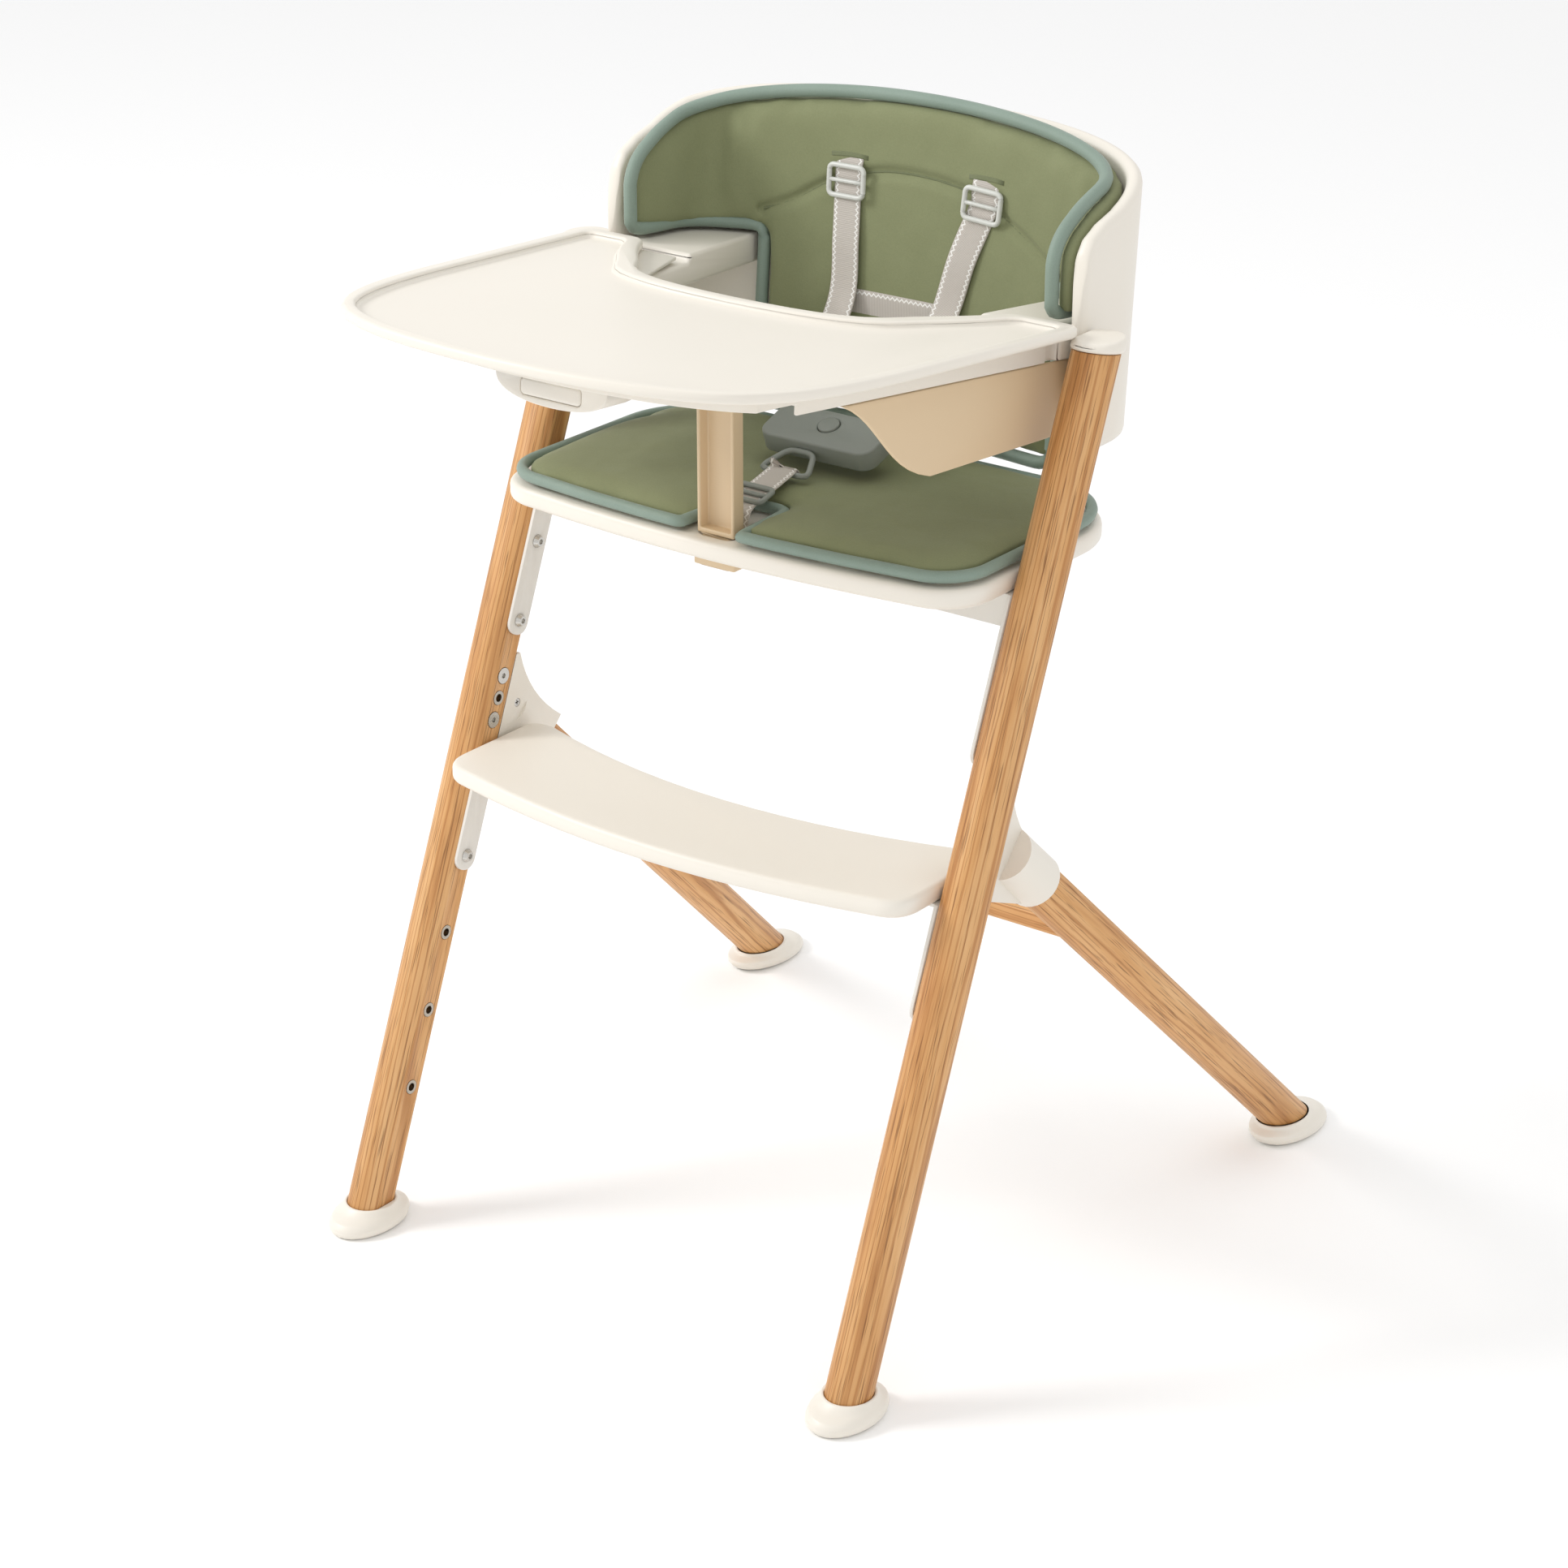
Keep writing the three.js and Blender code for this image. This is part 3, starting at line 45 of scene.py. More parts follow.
ARM_TILT = math.radians(4)  # the armrests and the tray rise towards the front
SHELL_LEAN = 0.075  # metres back for each metre up
SHELL_PIVOT = 0.745
SHELL_DEPTH = 0.092
SHELL_ROUNDNESS = 2.4
LEAN_START = 0.02  # metres behind the shell's front edge where the lean is whole
LEG_LEAN = math.radians(22.07)
CUSHION_INSET = 0.031  # of the back cushion's face inside the shell's outside
ARM_PIVOT_INSET = 0.0356  # from the armrests' rear end to where their tilt turns
CLOTH_FRAMES = 20


class Body(str, Enum):
    """The CAD bodies that pieces ride on."""

    CHAIR = "chair"
    TRAY = "tray"
    COVER = "tray_cover"
    RELEASE = "release_button"
    BUCKLE = "buckle_button"


class Slot(str, Enum):
    """The record's material slots."""

    OAK = "oak"
    WHITE = "white_plastic"
    CREAM = "cream_plastic"
    ENAMEL = "enamelled_steel"
    STAINLESS = "stainless_steel"
    INSERT = "insert_metal"
    SAGE = "sage_fabric"
    WEBBING = "webbing"
    GREY = "grey_plastic"
    PALE_GREY = "pale_grey_plastic"


# ---------------------------------------------------------------- shader helpers


def linear(hexcode: str) -> tuple[float, float, float, float]:
    """Turn an sRGB hex colour into the linear RGBA that a shader socket takes.

    Args:
        hexcode: six hex digits, with or without a leading hash.

    Returns:
        Red, green, blue and an alpha of one.
    """
    digits = hexcode.lstrip("#")
    channels = [int(digits[i : i + 2], 16) / 255 for i in (0, 2, 4)]
    flat = [c / 12.92 if c <= 0.04045 else ((c + 0.055) / 1.055) ** 2.4 for c in channels]
    return (flat[0], flat[1], flat[2], 1.0)


def grey(level: float) -> tuple[float, float, float, float]:
    """Give a linear grey, for a mask."""
    return (level, level, level, 1.0)


def add(
    tree: bpy.types.NodeTree,
    kind: str,
    inputs: dict | None = None,
    stops: Sequence[tuple[float, tuple]] = (),
    **settings: object,
) -> bpy.types.Node:
    """Add one shader node, with its settings, values and links.

    Args:
        tree: the node tree to add to.
        kind: the node's type name, without the leading ShaderNode.
        inputs: socket name or index to a value, or to an output socket to link.
        stops: position and linear colour of each colour stop, in rising order.
        settings: attributes of the node, such as operation or data_type.

    Returns:
        The new node.
    """
    made = tree.nodes.new("ShaderNode" + kind)
    for name, value in settings.items():
        setattr(made, name, value)
    for key, value in (inputs or {}).items():
        if isinstance(value, bpy.types.NodeSocket):
            tree.links.new(value, made.inputs[key])
        else:
            made.inputs[key].default_value = value
    if stops:
        elements = made.color_ramp.elements
        while len(elements) < len(stops):
            elements.new(0.5)
        for element, (position, colour) in zip(elements, stops):
            element.position = position
            element.color = colour
    return made


def blank(name: str) -> tuple[bpy.types.Material, bpy.types.NodeTree, bpy.types.Node]:
    """Make a material that holds one Principled shader.

    Args:
        name: the material's name, after the real material.

    Returns:
        The material, its tree, and the Principled node, linked to the output.
    """
    material = bpy.data.materials.new(name)
    material.use_nodes = True
    tree = material.node_tree
    tree.nodes.clear()
    shader = add(tree, "BsdfPrincipled")
    add(tree, "OutputMaterial", {"Surface": shader.outputs["BSDF"]})
    return material, tree, shader


# ---------------------------------------------------------------- finishes


@dataclass(frozen=True)
class Wood:
    """Straight-grained ash under a clear matt lacquer.

    The eye sees honey-coloured bands along each pole, narrow darker growth lines, and short dark pores.
    """

    name: str = "ash_wood_lacquered"
    light: str = "#e0b17a"
    middle: str = "#d19b60"
    dark: str = "#b27840"
    pore: str = "#74471c"

    def build(self) -> bpy.types.Material:
        """Make the wood.

        Returns:
            The material, whose grain follows the mesh attribute named grain.
        """
        material, tree, shader = blank(self.name)
        grain = add(tree, "Attribute", attribute_name="grain").outputs["Vector"]
        slow, fine = (
            add(tree, "VectorMath", {0: grain, 1: (1.0, 1.0, along)}, operation="MULTIPLY").outputs["Vector"]
            for along in (0.06, 0.022)
        )
        bands = add(tree, "TexNoise", {"Vector": slow, "Scale": 95.0, "Detail": 3.0, "Roughness": 0.55})
        base = add(
            tree,
            "ValToRGB",
            {"Fac": bands.outputs["Fac"]},
            [(0.28, linear(self.dark)), (0.46, linear(self.middle)), (0.72, linear(self.light))],
        ).outputs["Color"]
        lines = add(
            tree,
            "TexWave",
            {"Vector": slow, "Scale": 80.0, "Distortion": 5.0, "Detail": 2.0, "Detail Scale": 0.9},
            wave_type="BANDS",
            bands_direction="X",
        )
        stops = [(0.0, grey(0.8)), (0.24, grey(0.0))]
        line_mask = add(tree, "ValToRGB", {"Fac": lines.outputs["Fac"]}, stops)
        lined = add(
            tree,
            "Mix",
            {0: line_mask.outputs["Color"], 6: base, 7: linear(self.dark)},
            data_type="RGBA",
            blend_type="MIX",
        ).outputs[2]
        pores = add(tree, "TexNoise", {"Vector": fine, "Scale": 900.0, "Detail": 2.0, "Roughness": 0.6})
        stops = [(0.56, grey(0.0)), (0.66, grey(0.7))]
        pore_mask = add(tree, "ValToRGB", {"Fac": pores.outputs["Fac"]}, stops)
        final = add(
            tree,
            "Mix",
            {0: pore_mask.outputs["Color"], 6: lined, 7: linear(self.pore)},
            data_type="RGBA",
            blend_type="MIX",
        ).outputs[2]
        rough = add(tree, "MapRange", {"Value": pores.outputs["Fac"], "To Min": 0.42, "To Max": 0.6})
        bump = add(
            tree,
            "Bump",
            {"Strength": 0.12, "Distance": 0.0003, "Height": pores.outputs["Fac"]},
            invert=True,
        )
        tree.links.new(final, shader.inputs["Base Color"])
        tree.links.new(rough.outputs["Result"], shader.inputs["Roughness"])
        tree.links.new(bump.outputs["Normal"], shader.inputs["Normal"])
        shader.inputs["Coat Weight"].default_value = 0.08
        shader.inputs["Coat Roughness"].default_value = 0.35
        return material


@dataclass(frozen=True)
class Moulded:
    """Injection-moulded plastic with a satin skin.

    The eye sees a smooth even colour, soft highlights, and the faintest grain in them.
    """

    name: str
    colour: str
    roughness: float = 0.42
    grain: float = 0.04

    def build(self) -> bpy.types.Material:
        """Make the plastic.

        Returns:
            The material.
        """
        material, tree, shader = blank(self.name)
        place = add(tree, "TexCoord").outputs["Object"]
        speck = add(tree, "TexNoise", {"Vector": place, "Scale": 1400.0, "Detail": 2.0})
        cloud = add(tree, "TexNoise", {"Vector": place, "Scale": 22.0, "Detail": 3.0})
        rough = add(
            tree,
            "MapRange",
            {"Value": cloud.outputs["Fac"], "To Min": self.roughness - 0.04, "To Max": self.roughness + 0.05},
        )
        bump = add(tree, "Bump", {"Strength": self.grain, "Distance": 0.0002, "Height": speck.outputs["Fac"]})
        shader.inputs["Base Color"].default_value = linear(self.colour)
        tree.links.new(rough.outputs["Result"], shader.inputs["Roughness"])
        tree.links.new(bump.outputs["Normal"], shader.inputs["Normal"])
        return material


@dataclass(frozen=True)
class Metal:
    """Turned or plated metal.

    The eye sees a clear grey reflection, a little blurred by fine marks.
    """

    name: str
    colour: str
    roughness: float

    def build(self) -> bpy.types.Material:
        """Make the metal.

        Returns:
            The material.
        """
        material, tree, shader = blank(self.name)
        place = add(tree, "TexCoord").outputs["Object"]
        marks = add(tree, "TexNoise", {"Vector": place, "Scale": 900.0, "Detail": 4.0})
        rough = add(
            tree,
            "MapRange",
            {"Value": marks.outputs["Fac"], "To Min": self.roughness - 0.05, "To Max": self.roughness + 0.08},
        )
        shader.inputs["Base Color"].default_value = linear(self.colour)
        shader.inputs["Metallic"].default_value = 1.0
        tree.links.new(rough.outputs["Result"], shader.inputs["Roughness"])
        return material


@dataclass(frozen=True)
class Cloth:
    """Fine coated cloth.

    The eye sees a dry matt colour with a close weave, faint mottling, and slack ripples where it is pulled.
    """

    name: str
    light: str
    dark: str
    pitch: float = 0.0009
    ripple: float = 0.25
    roughness: float = 0.85

    def build(self) -> bpy.types.Material:
        """Make the cloth.

        Returns:
            The material.
        """
        material, tree, shader = blank(self.name)
        place = add(tree, "TexCoord").outputs["Object"]
        threads = {"Vector": place, "Scale": 0.7 / self.pitch, "Detail": 2.0, "Roughness": 0.7}
        weave = add(tree, "TexNoise", threads)
        mottle = add(tree, "TexNoise", {"Vector": place, "Scale": 30.0, "Detail": 4.0})
        both = add(tree, "Math", {0: weave.outputs["Fac"], 1: mottle.outputs["Fac"]}, operation="ADD")
        half = add(tree, "Math", {0: both.outputs["Value"], 1: 0.5}, operation="MULTIPLY")
        stops = [(0.0, linear(self.dark)), (1.0, linear(self.light))]
        colour = add(tree, "ValToRGB", {"Fac": half.outputs["Value"]}, stops).outputs["Color"]
        folds = add(tree, "TexNoise", {"Vector": place, "Scale": 26.0, "Detail": 1.0, "Distortion": 0.6})
        slow = add(tree, "Bump", {"Strength": self.ripple, "Distance": 0.004, "Height": folds.outputs["Fac"]})
        fine = add(tree, "Bump", {"Strength": 0.35, "Distance": 0.0004, "Height": weave.outputs["Fac"]})
        tree.links.new(slow.outputs["Normal"], fine.inputs["Normal"])
        tree.links.new(colour, shader.inputs["Base Color"])
        tree.links.new(fine.outputs["Normal"], shader.inputs["Normal"])
        shader.inputs["Roughness"].default_value = self.roughness
        shader.inputs["Sheen Weight"].default_value = 0.15
        shader.inputs["Sheen Roughness"].default_value = 0.4
        return material


@dataclass(frozen=True)
class Webbing:
    """Woven harness webbing with white zigzag stitching down both edges.

    The eye sees fine cross ribs, a warm grey ground with painted shade in the troughs between ribs, and a
    bright zigzag line beside each edge.
    """

    name: str = "woven_polyester_webbing"
    ground: str = "#d3cdc5"
    # darker colour of the troughs between ribs: painted shade
    shade: str = "#b4aca3"
    stitch: str = "#f4f2ee"
    width: float = 0.025

    def build(self) -> bpy.types.Material:
        """Make the webbing.

        Returns:
            The material, which reads metres along and across the strap from the UV map.
        """
        material, tree, shader = blank(self.name)
        uv = add(tree, "UVMap", uv_map="strap").outputs["UV"]
        split = add(tree, "SeparateXYZ", {0: uv})
        along, across = split.outputs["X"], split.outputs["Y"]
        rib = add(tree, "Math", {0: along, 1: 2 * math.pi / 0.0011}, operation="MULTIPLY")
        ribs = add(tree, "Math", {0: rib.outputs["Value"]}, operation="SINE")
        height = add(tree, "MapRange", {"Value": ribs.outputs["Value"], "From Min": -1.0}).outputs["Result"]
        # the troughs between ribs take the darker colour: painted shade
        stops = [(0.0, linear(self.shade)), (1.0, linear(self.ground))]
        ground = add(tree, "ValToRGB", {"Fac": height}, stops).outputs["Color"]
        edge = add(tree, "Math", {0: across}, operation="ABSOLUTE")
        turn = add(tree, "Math", {0: along, 1: 0.0022}, operation="PINGPONG")
        level = add(tree, "Math", {0: turn.outputs["Value"], 1: self.width / 2 - 0.0036}, operation="ADD")
        miss = add(tree, "Math", {0: edge.outputs["Value"], 1: level.outputs["Value"]}, operation="SUBTRACT")
        near = add(tree, "Math", {0: miss.outputs["Value"]}, operation="ABSOLUTE")
        fade = {"From Min": 0.0005, "From Max": 0.0009, "To Min": 1.0, "To Max": 0.0}
        mask = add(tree, "MapRange", {"Value": near.outputs["Value"], **fade})
        final = add(
            tree,
            "Mix",
            {0: mask.outputs["Result"], 6: ground, 7: linear(self.stitch)},
            data_type="RGBA",
            blend_type="MIX",
        ).outputs[2]
        bump = add(tree, "Bump", {"Strength": 0.4, "Distance": 0.0002, "Height": ribs.outputs["Value"]})
        tree.links.new(final, shader.inputs["Base Color"])
        tree.links.new(bump.outputs["Normal"], shader.inputs["Normal"])
        shader.inputs["Roughness"].default_value = 0.75
        shader.inputs["Sheen Weight"].default_value = 0.2
        return material


@dataclass
class Palette:
    """Every finish of the chair, made once."""

    made: dict[str, bpy.types.Material] = field(default_factory=dict)

    def build(self) -> "Palette":
        """Make all the materials.

        Returns:
            The palette itself.
        """
        finishes = {
            "oak": Wood(),
            # white satin mouldings: shell, tray, seat, feet
            "white_plastic": Moulded("white_polypropylene", "#e9e3d8", 0.4),
            # warm cream mouldings: side panels and crotch post; the cream is partly their own colour and
            # partly darkened as painted shade
            "cream_plastic": Moulded("cream_polypropylene_painted_shade", "#dac29f", 0.42),
            # off-white powder coat on the bent brackets
            "enamelled_steel": Moulded("white_powder_coat", "#dedad2", 0.35, 0.08),
            # bright button-head bolts
            "stainless_steel": Metal("stainless_steel", "#c9c6c0", 0.25),
            # dull plated sleeves in the legs
            "insert_metal": Metal("plated_insert", "#b7b0a4", 0.3),
            "grey_plastic": Moulded("grey_acetal", "#8c918a", 0.5),
            "pale_grey_plastic": Moulded("pale_grey_acetal", "#d2d3cd", 0.35),
            "sage_fabric": Cloth("sage_coated_cloth", "#8f946f", "#787d58"),
            "piping": Cloth("blue_green_binding", "#8fa094", "#77897c", 0.0007, 0.05, 0.6),
            # darker olive for the arch seam's cord and the strap slits: partly the seam's own thread, partly
            # painted shade of the crease and of the slit openings
            "lining": Cloth("olive_seam_thread_painted_shade", "#7b8160", "#686e4e", 0.0007, 0.0, 0.8),
            "webbing": Webbing(),
            # matt paper floor of the studio
            "floor": Moulded("studio_paper", "#ffffff", 0.9, 0.0),
        }
        self.made = {key: finish.build() for key, finish in finishes.items()}
        return self

    def __getitem__(self, key: str) -> bpy.types.Material:
        """Give a finish by its name."""
        return self.made[key]


# ---------------------------------------------------------------- mesh helpers


def mesh_object(
    name: str, verts: Iterable[Sequence[float]], faces: Iterable[Sequence[int]]
) -> bpy.types.Object:
    """Make a smooth-shaded mesh object in the row frame.

    Args:
        name: the object's name.
        verts: the points, in metres.
        faces: the faces, as lists of point numbers.

    Returns:
        The new object, linked to the scene.
    """
    mesh = bpy.data.meshes.new(name)
    mesh.from_pydata([tuple(v) for v in verts], [], [tuple(f) for f in faces])
    mesh.validate()
    mesh.update()
    mesh.shade_smooth()
    obj = bpy.data.objects.new(name, mesh)
    bpy.context.scene.collection.objects.link(obj)
    return obj


def grid(
    name: str, rings: Sequence[Sequence[Vector]], closed: bool = False, caps: bool = True
) -> bpy.types.Object:
    """Skin a row of rings, each a closed loop with the same count of points.

    Args:
        name: the object's name.
        rings: the loops of points.
        closed: whether the last ring joins the first.
        caps: whether open ends are closed with a face.

    Returns:
        The new object.
    """
    count = len(rings[0])
    faces = []
    for r in range(len(rings) if closed else len(rings) - 1):
        a, b = r * count, ((r + 1) % len(rings)) * count
        faces += [(a + i, a + (i + 1) % count, b + (i + 1) % count, b + i) for i in range(count)]
    if caps and not closed:
        faces.append(tuple(reversed(range(count))))
        faces.append(tuple((len(rings) - 1) * count + i for i in range(count)))
    obj = mesh_object(name, [p for ring in rings for p in ring], faces)
    outward(obj)
    return obj


def joined(first: bpy.types.Object, second: bpy.types.Object) -> bpy.types.Object:
    """Put two meshes into one object.

    Args:
        first: the object that is kept.
        second: the object that goes into it.

    Returns:
        The first object.
    """
    made = bmesh.new()
    made.from_mesh(first.data)
    made.from_mesh(second.data)
    made.to_mesh(first.data)
    made.free()
    first.data.shade_smooth()
    bpy.data.objects.remove(second)
    return first


def outward(obj: bpy.types.Object) -> None:
    """Turn all of a closed mesh's faces outwards.

    Args:
        obj: the mesh object.
    """
    made = bmesh.new()
    made.from_mesh(obj.data)
    bmesh.ops.recalc_face_normals(made, faces=made.faces)
    made.to_mesh(obj.data)
    made.free()


def tube(
    name: str, points: Sequence[Vector], radius: float, closed: bool = False, sides: int = 10
) -> bpy.types.Object:
    """Sweep a round cord along points.

    Args:
        name: the object's name.
        points: the line it follows.
        radius: its radius, in metres.
        closed: whether it is a loop.
        sides: sides of its section.

    Returns:
        The new object.
    """
    count = len(points)
    rings = []
    up = Vector((0, 0, 1))
    last = None
    for i, point in enumerate(points):
        ahead = points[(i + 1) % count] if closed else points[min(i + 1, count - 1)]
        behind = points[(i - 1) % count] if closed else points[max(i - 1, 0)]
        along = (ahead - behind).normalized()
        side = along.cross(up)
        if side.length < 0.1:
            side = along.cross(Vector((0, 1, 0)))
        side.normalize()
        if last is not None and side.dot(last) < 0:
            side = -side
        last = side
        top = side.cross(along).normalized()
        turns = [2 * math.pi * k / sides for k in range(sides)]
        rings.append([point + radius * (math.cos(t) * side + math.sin(t) * top) for t in turns])
    return grid(name, rings, closed)


def spline(points: Sequence[Vector], count: int, closed: bool = False) -> list[Vector]:
    """Pass a smooth line through points.

    Args:
        points: the points it passes through.
        count: how many points to return.
        closed: whether the line is a loop.

    Returns:
        Points along a Catmull-Rom line.
    """
    spans = len(points) if closed else len(points) - 1

    def at(i: int) -> Vector:
        """Give a point by its number, round the loop or held at the ends."""
        return points[i % len(points)] if closed else points[max(0, min(i, len(points) - 1))]

    line = []
    total = count if closed else count - 1
    for k in range(count):
        t = k * spans / total
        i = min(int(t), spans - 1) if not closed else int(t)
        f = t - i
        a, b, c, d = at(i - 1), at(i), at(i + 1), at(i + 2)
        square, cube = 2 * a - 5 * b + 4 * c - d, 3 * b - a - 3 * c + d
        line.append(0.5 * (2 * b + (c - a) * f + square * f * f + cube * f * f * f))
    return line


def ribbon(
    name: str,
    points: Sequence[Vector],
    side: Callable[[float], Vector],
    width: float = 0.025,
    thick: float = 0.0016,
) -> bpy.types.Object:
    """Make a strap that follows points, with metres along and across it as UVs.

    Args:
        name: the object's name.
        points: the strap's middle line.
        side: the direction its width lies in, for each share of its length.
        width: across the strap.
        thick: through the strap.

    Returns:
        The new object.
    """
    columns = [-1.0, -0.92, -0.5, 0.0, 0.5, 0.92, 1.0]
    rings, along = [], [0.0]
    for i, point in enumerate(points):
        ahead, behind = points[min(i + 1, len(points) - 1)], points[max(i - 1, 0)]
        run = (ahead - behind).normalized()
        across = side(i / (len(points) - 1))
        across = (across - run * across.dot(run)).normalized()
        face = run.cross(across).normalized()
        ring = []
        for lift, row in ((thick / 2, columns), (-thick / 2, reversed(columns))):
            ring += [point + across * c * width / 2 + face * lift * (1 if abs(c) < 1 else 0.4) for c in row]
        rings.append(ring)
        if i:
            along.append(along[-1] + (point - points[i - 1]).length)
    obj = grid(name, rings)
    layer = obj.data.uv_layers.new(name="strap")
    places = columns + list(reversed(columns))
    for loop in obj.data.loops:
        ring, k = divmod(loop.vertex_index, len(places))
        layer.data[loop.index].uv = (along[ring], places[k] * width / 2)
    return obj


def refined(
    node: str, bevel: float = 0.0012, segments: int = 3, sharp: float = 30.0, clamp: bool = False
) -> bpy.types.Object:
    """Copy a CAD node with softened edges and smooth faces.

    Args:
        node: the CAD node's name.
        bevel: radius of the softened edges, or 0 for none.
        segments: steps in each softened edge.
        sharp: the angle, in degrees, above which an edge counts as one.
        clamp: whether small edges hold the radius down.

    Returns:
        The new object, named after the node.
    """
    lo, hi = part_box(node)
    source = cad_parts[node]
    made = bmesh.new()
    made.from_mesh(source.data)
    bmesh.ops.remove_doubles(made, verts=made.verts, dist=2e-6)
    bmesh.ops.dissolve_limit(
        made, angle_limit=math.radians(0.6), verts=made.verts, edges=made.edges, delimit={"NORMAL"}
    )
    bmesh.ops.recalc_face_normals(made, faces=made.faces)
    for face in made.faces:
        face.smooth = True
    for edge in made.edges:
        if edge.is_manifold and edge.calc_face_angle(0.0) > math.radians(sharp):
            edge.smooth = bevel > 0
    mesh = bpy.data.meshes.new(node + "_look")
    made.to_mesh(mesh)
    made.free()
    obj = bpy.data.objects.new(node + "_look", mesh)
    bpy.context.scene.collection.objects.link(obj)
    if bevel > 0:
        soft = obj.modifiers.new("edges", "BEVEL")
        soft.width = min(bevel, 0.3 * min(hi - lo))
        soft.segments = segments
        soft.limit_method = "ANGLE"
        soft.angle_limit = math.radians(sharp)
        soft.use_clamp_overlap = clamp
        soft.harden_normals = True
        soft.miter_outer = "MITER_ARC"
    return obj


def settle(
    obj: bpy.types.Object,
    finishes: Palette,
    slot: Slot,
    *nodes: str,
    body: Body = Body.CHAIR,
    finish: str = "",
) -> bpy.types.Object:
    """Give a piece its finish, its body and the CAD nodes it stands for.

    Args:
        obj: the piece.
        finishes: every finish of the chair.
        slot: the record's slot its finish belongs to.
        nodes: the CAD nodes it replaces.
        body: the CAD body it rides on.
        finish: its finish, where that isn't the slot's own.

    Returns:
        The piece.
    """
    obj.data.materials.clear()
    obj.data.materials.append(finishes[finish or slot.value])
    if nodes:
        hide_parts(*nodes)
    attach(obj, body.value)
    return obj


def grained(obj: bpy.types.Object, origin: Vector, axis: Vector) -> bpy.types.Object:
    """Store each point's place in a pole's own frame, for the wood's grain.

    Args:
        obj: the wooden piece.
        origin: a point on the pole's axis.
        axis: the pole's direction.

    Returns:
        The piece.
    """
    turn = axis.normalized().rotation_difference(Vector((0, 0, 1)))
    layer = obj.data.attributes.new("grain", "FLOAT_VECTOR", "POINT")
    for i, vertex in enumerate(obj.data.vertices):
        layer.data[i].vector = turn @ (vertex.co - origin) + Vector((0.013, 0.021, 0)) * (1 + 3 * origin.x)
    return obj


# ---------------------------------------------------------------- sub-assemblies


@dataclass
class Legs:
    """The wooden legs, their stretcher, connectors, caps and feet."""

    finishes: Palette
    pole: float = 0.018  # radius of the legs

    def build(self) -> None:
        """Make the poles and mouldings from their CAD nodes."""
        for side, sign in (("left", -1), ("right", 1)):
            lo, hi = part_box(f"front_foot_{side}")
            foot = Vector(((lo.x + hi.x) / 2, (lo.y + hi.y) / 2, 0))
            lean = Vector((0, math.sin(LEG_LEAN), math.cos(LEG_LEAN)))
            leg = grained(refined(f"front_leg_{side}", 0.0008, 2), foot, lean)
            settle(leg, self.finishes, Slot.OAK, f"front_leg_{side}")
            lo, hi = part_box(f"rear_leg_{side}")
            start = Vector((sign * (max(abs(lo.x), abs(hi.x)) - self.pole), hi.y - 0.024, lo.z))
            end = Vector((sign * (min(abs(lo.x), abs(hi.x)) + self.pole), lo.y + 0.013, hi.z - 0.013))
            rear = grained(refined(f"rear_leg_{side}", 0.0008, 2), start, end - start)
            settle(rear, self.finishes, Slot.OAK, f"rear_leg_{side}")
            for name, bevel in (
                (f"leg_connector_{side}", 0.0),
                (f"front_foot_{side}", 0.001),
                (f"rear_foot_{side}", 0.001),
                (f"leg_cap_{side}", 0.0035),
            ):
                settle(refined(name, bevel, 4), self.finishes, Slot.WHITE, name)
        bar = refined("rear_stretcher", 0.0, 1)
        lo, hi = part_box("rear_stretcher")
        grained(bar, (lo + hi) / 2, Vector((1, 0, 0)))
        settle(bar, self.finishes, Slot.OAK, "rear_stretcher")
        self.dress()

    def dress(self) -> None:
        """Give the metal nodes that stay as CAD their finish."""
        for name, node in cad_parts.items():
            slot = Slot.INSERT if name.startswith("insert") else Slot.STAINLESS
            if name.startswith(("insert", "connector_bolt", "connector_screw", "seat_bolt", "footrest_bolt")):
                node.data.materials.clear()
                node.data.materials.append(self.finishes[slot.value])


def shell_lean(y: float, z: float) -> float:
    """Find how far back the shell leans at a point.

    Args:
        y: the place before the lean, in the row frame.
        z: the height.

    Returns:
        The metres back, nothing at the shell's front edge.
    """
    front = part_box("back_shell")[0].y
    return SHELL_LEAN * (z - SHELL_PIVOT) * min(1.0, max(0.0, (y - front) / LEAN_START))


def shell_plan(share: float, inset: float, z: float) -> Vector:
    """Find a point of the shell's plan.

    Args:
        share: 0 at the right front edge, 1 at the left one.
        inset: in from the outside.
        z: the height.

    Returns:
        The point in the row frame.
    """
    lo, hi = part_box("back_shell")
    half, deep = hi.x - inset, SHELL_DEPTH - inset
    shoulder = hi.y - SHELL_LEAN * (hi.z - SHELL_PIVOT) - SHELL_DEPTH
    straight = shoulder - lo.y
    arc = math.pi * 0.5 * (half + deep)
    total = 2 * straight + arc
    run = share * total
    if run < straight:
        x, y = half, shoulder - (straight - run)
    elif run > total - straight:
        x, y = -half, shoulder - (run - (total - straight))
    else:
        angle = math.pi * (run - straight) / arc
        c, s = math.cos(angle), max(math.sin(angle), 0.0)
        power = 2 / SHELL_ROUNDNESS
        x, y = half * math.copysign(abs(c) ** power, c), shoulder + deep * s**power
    return Vector((x, y + shell_lean(y, z), z))


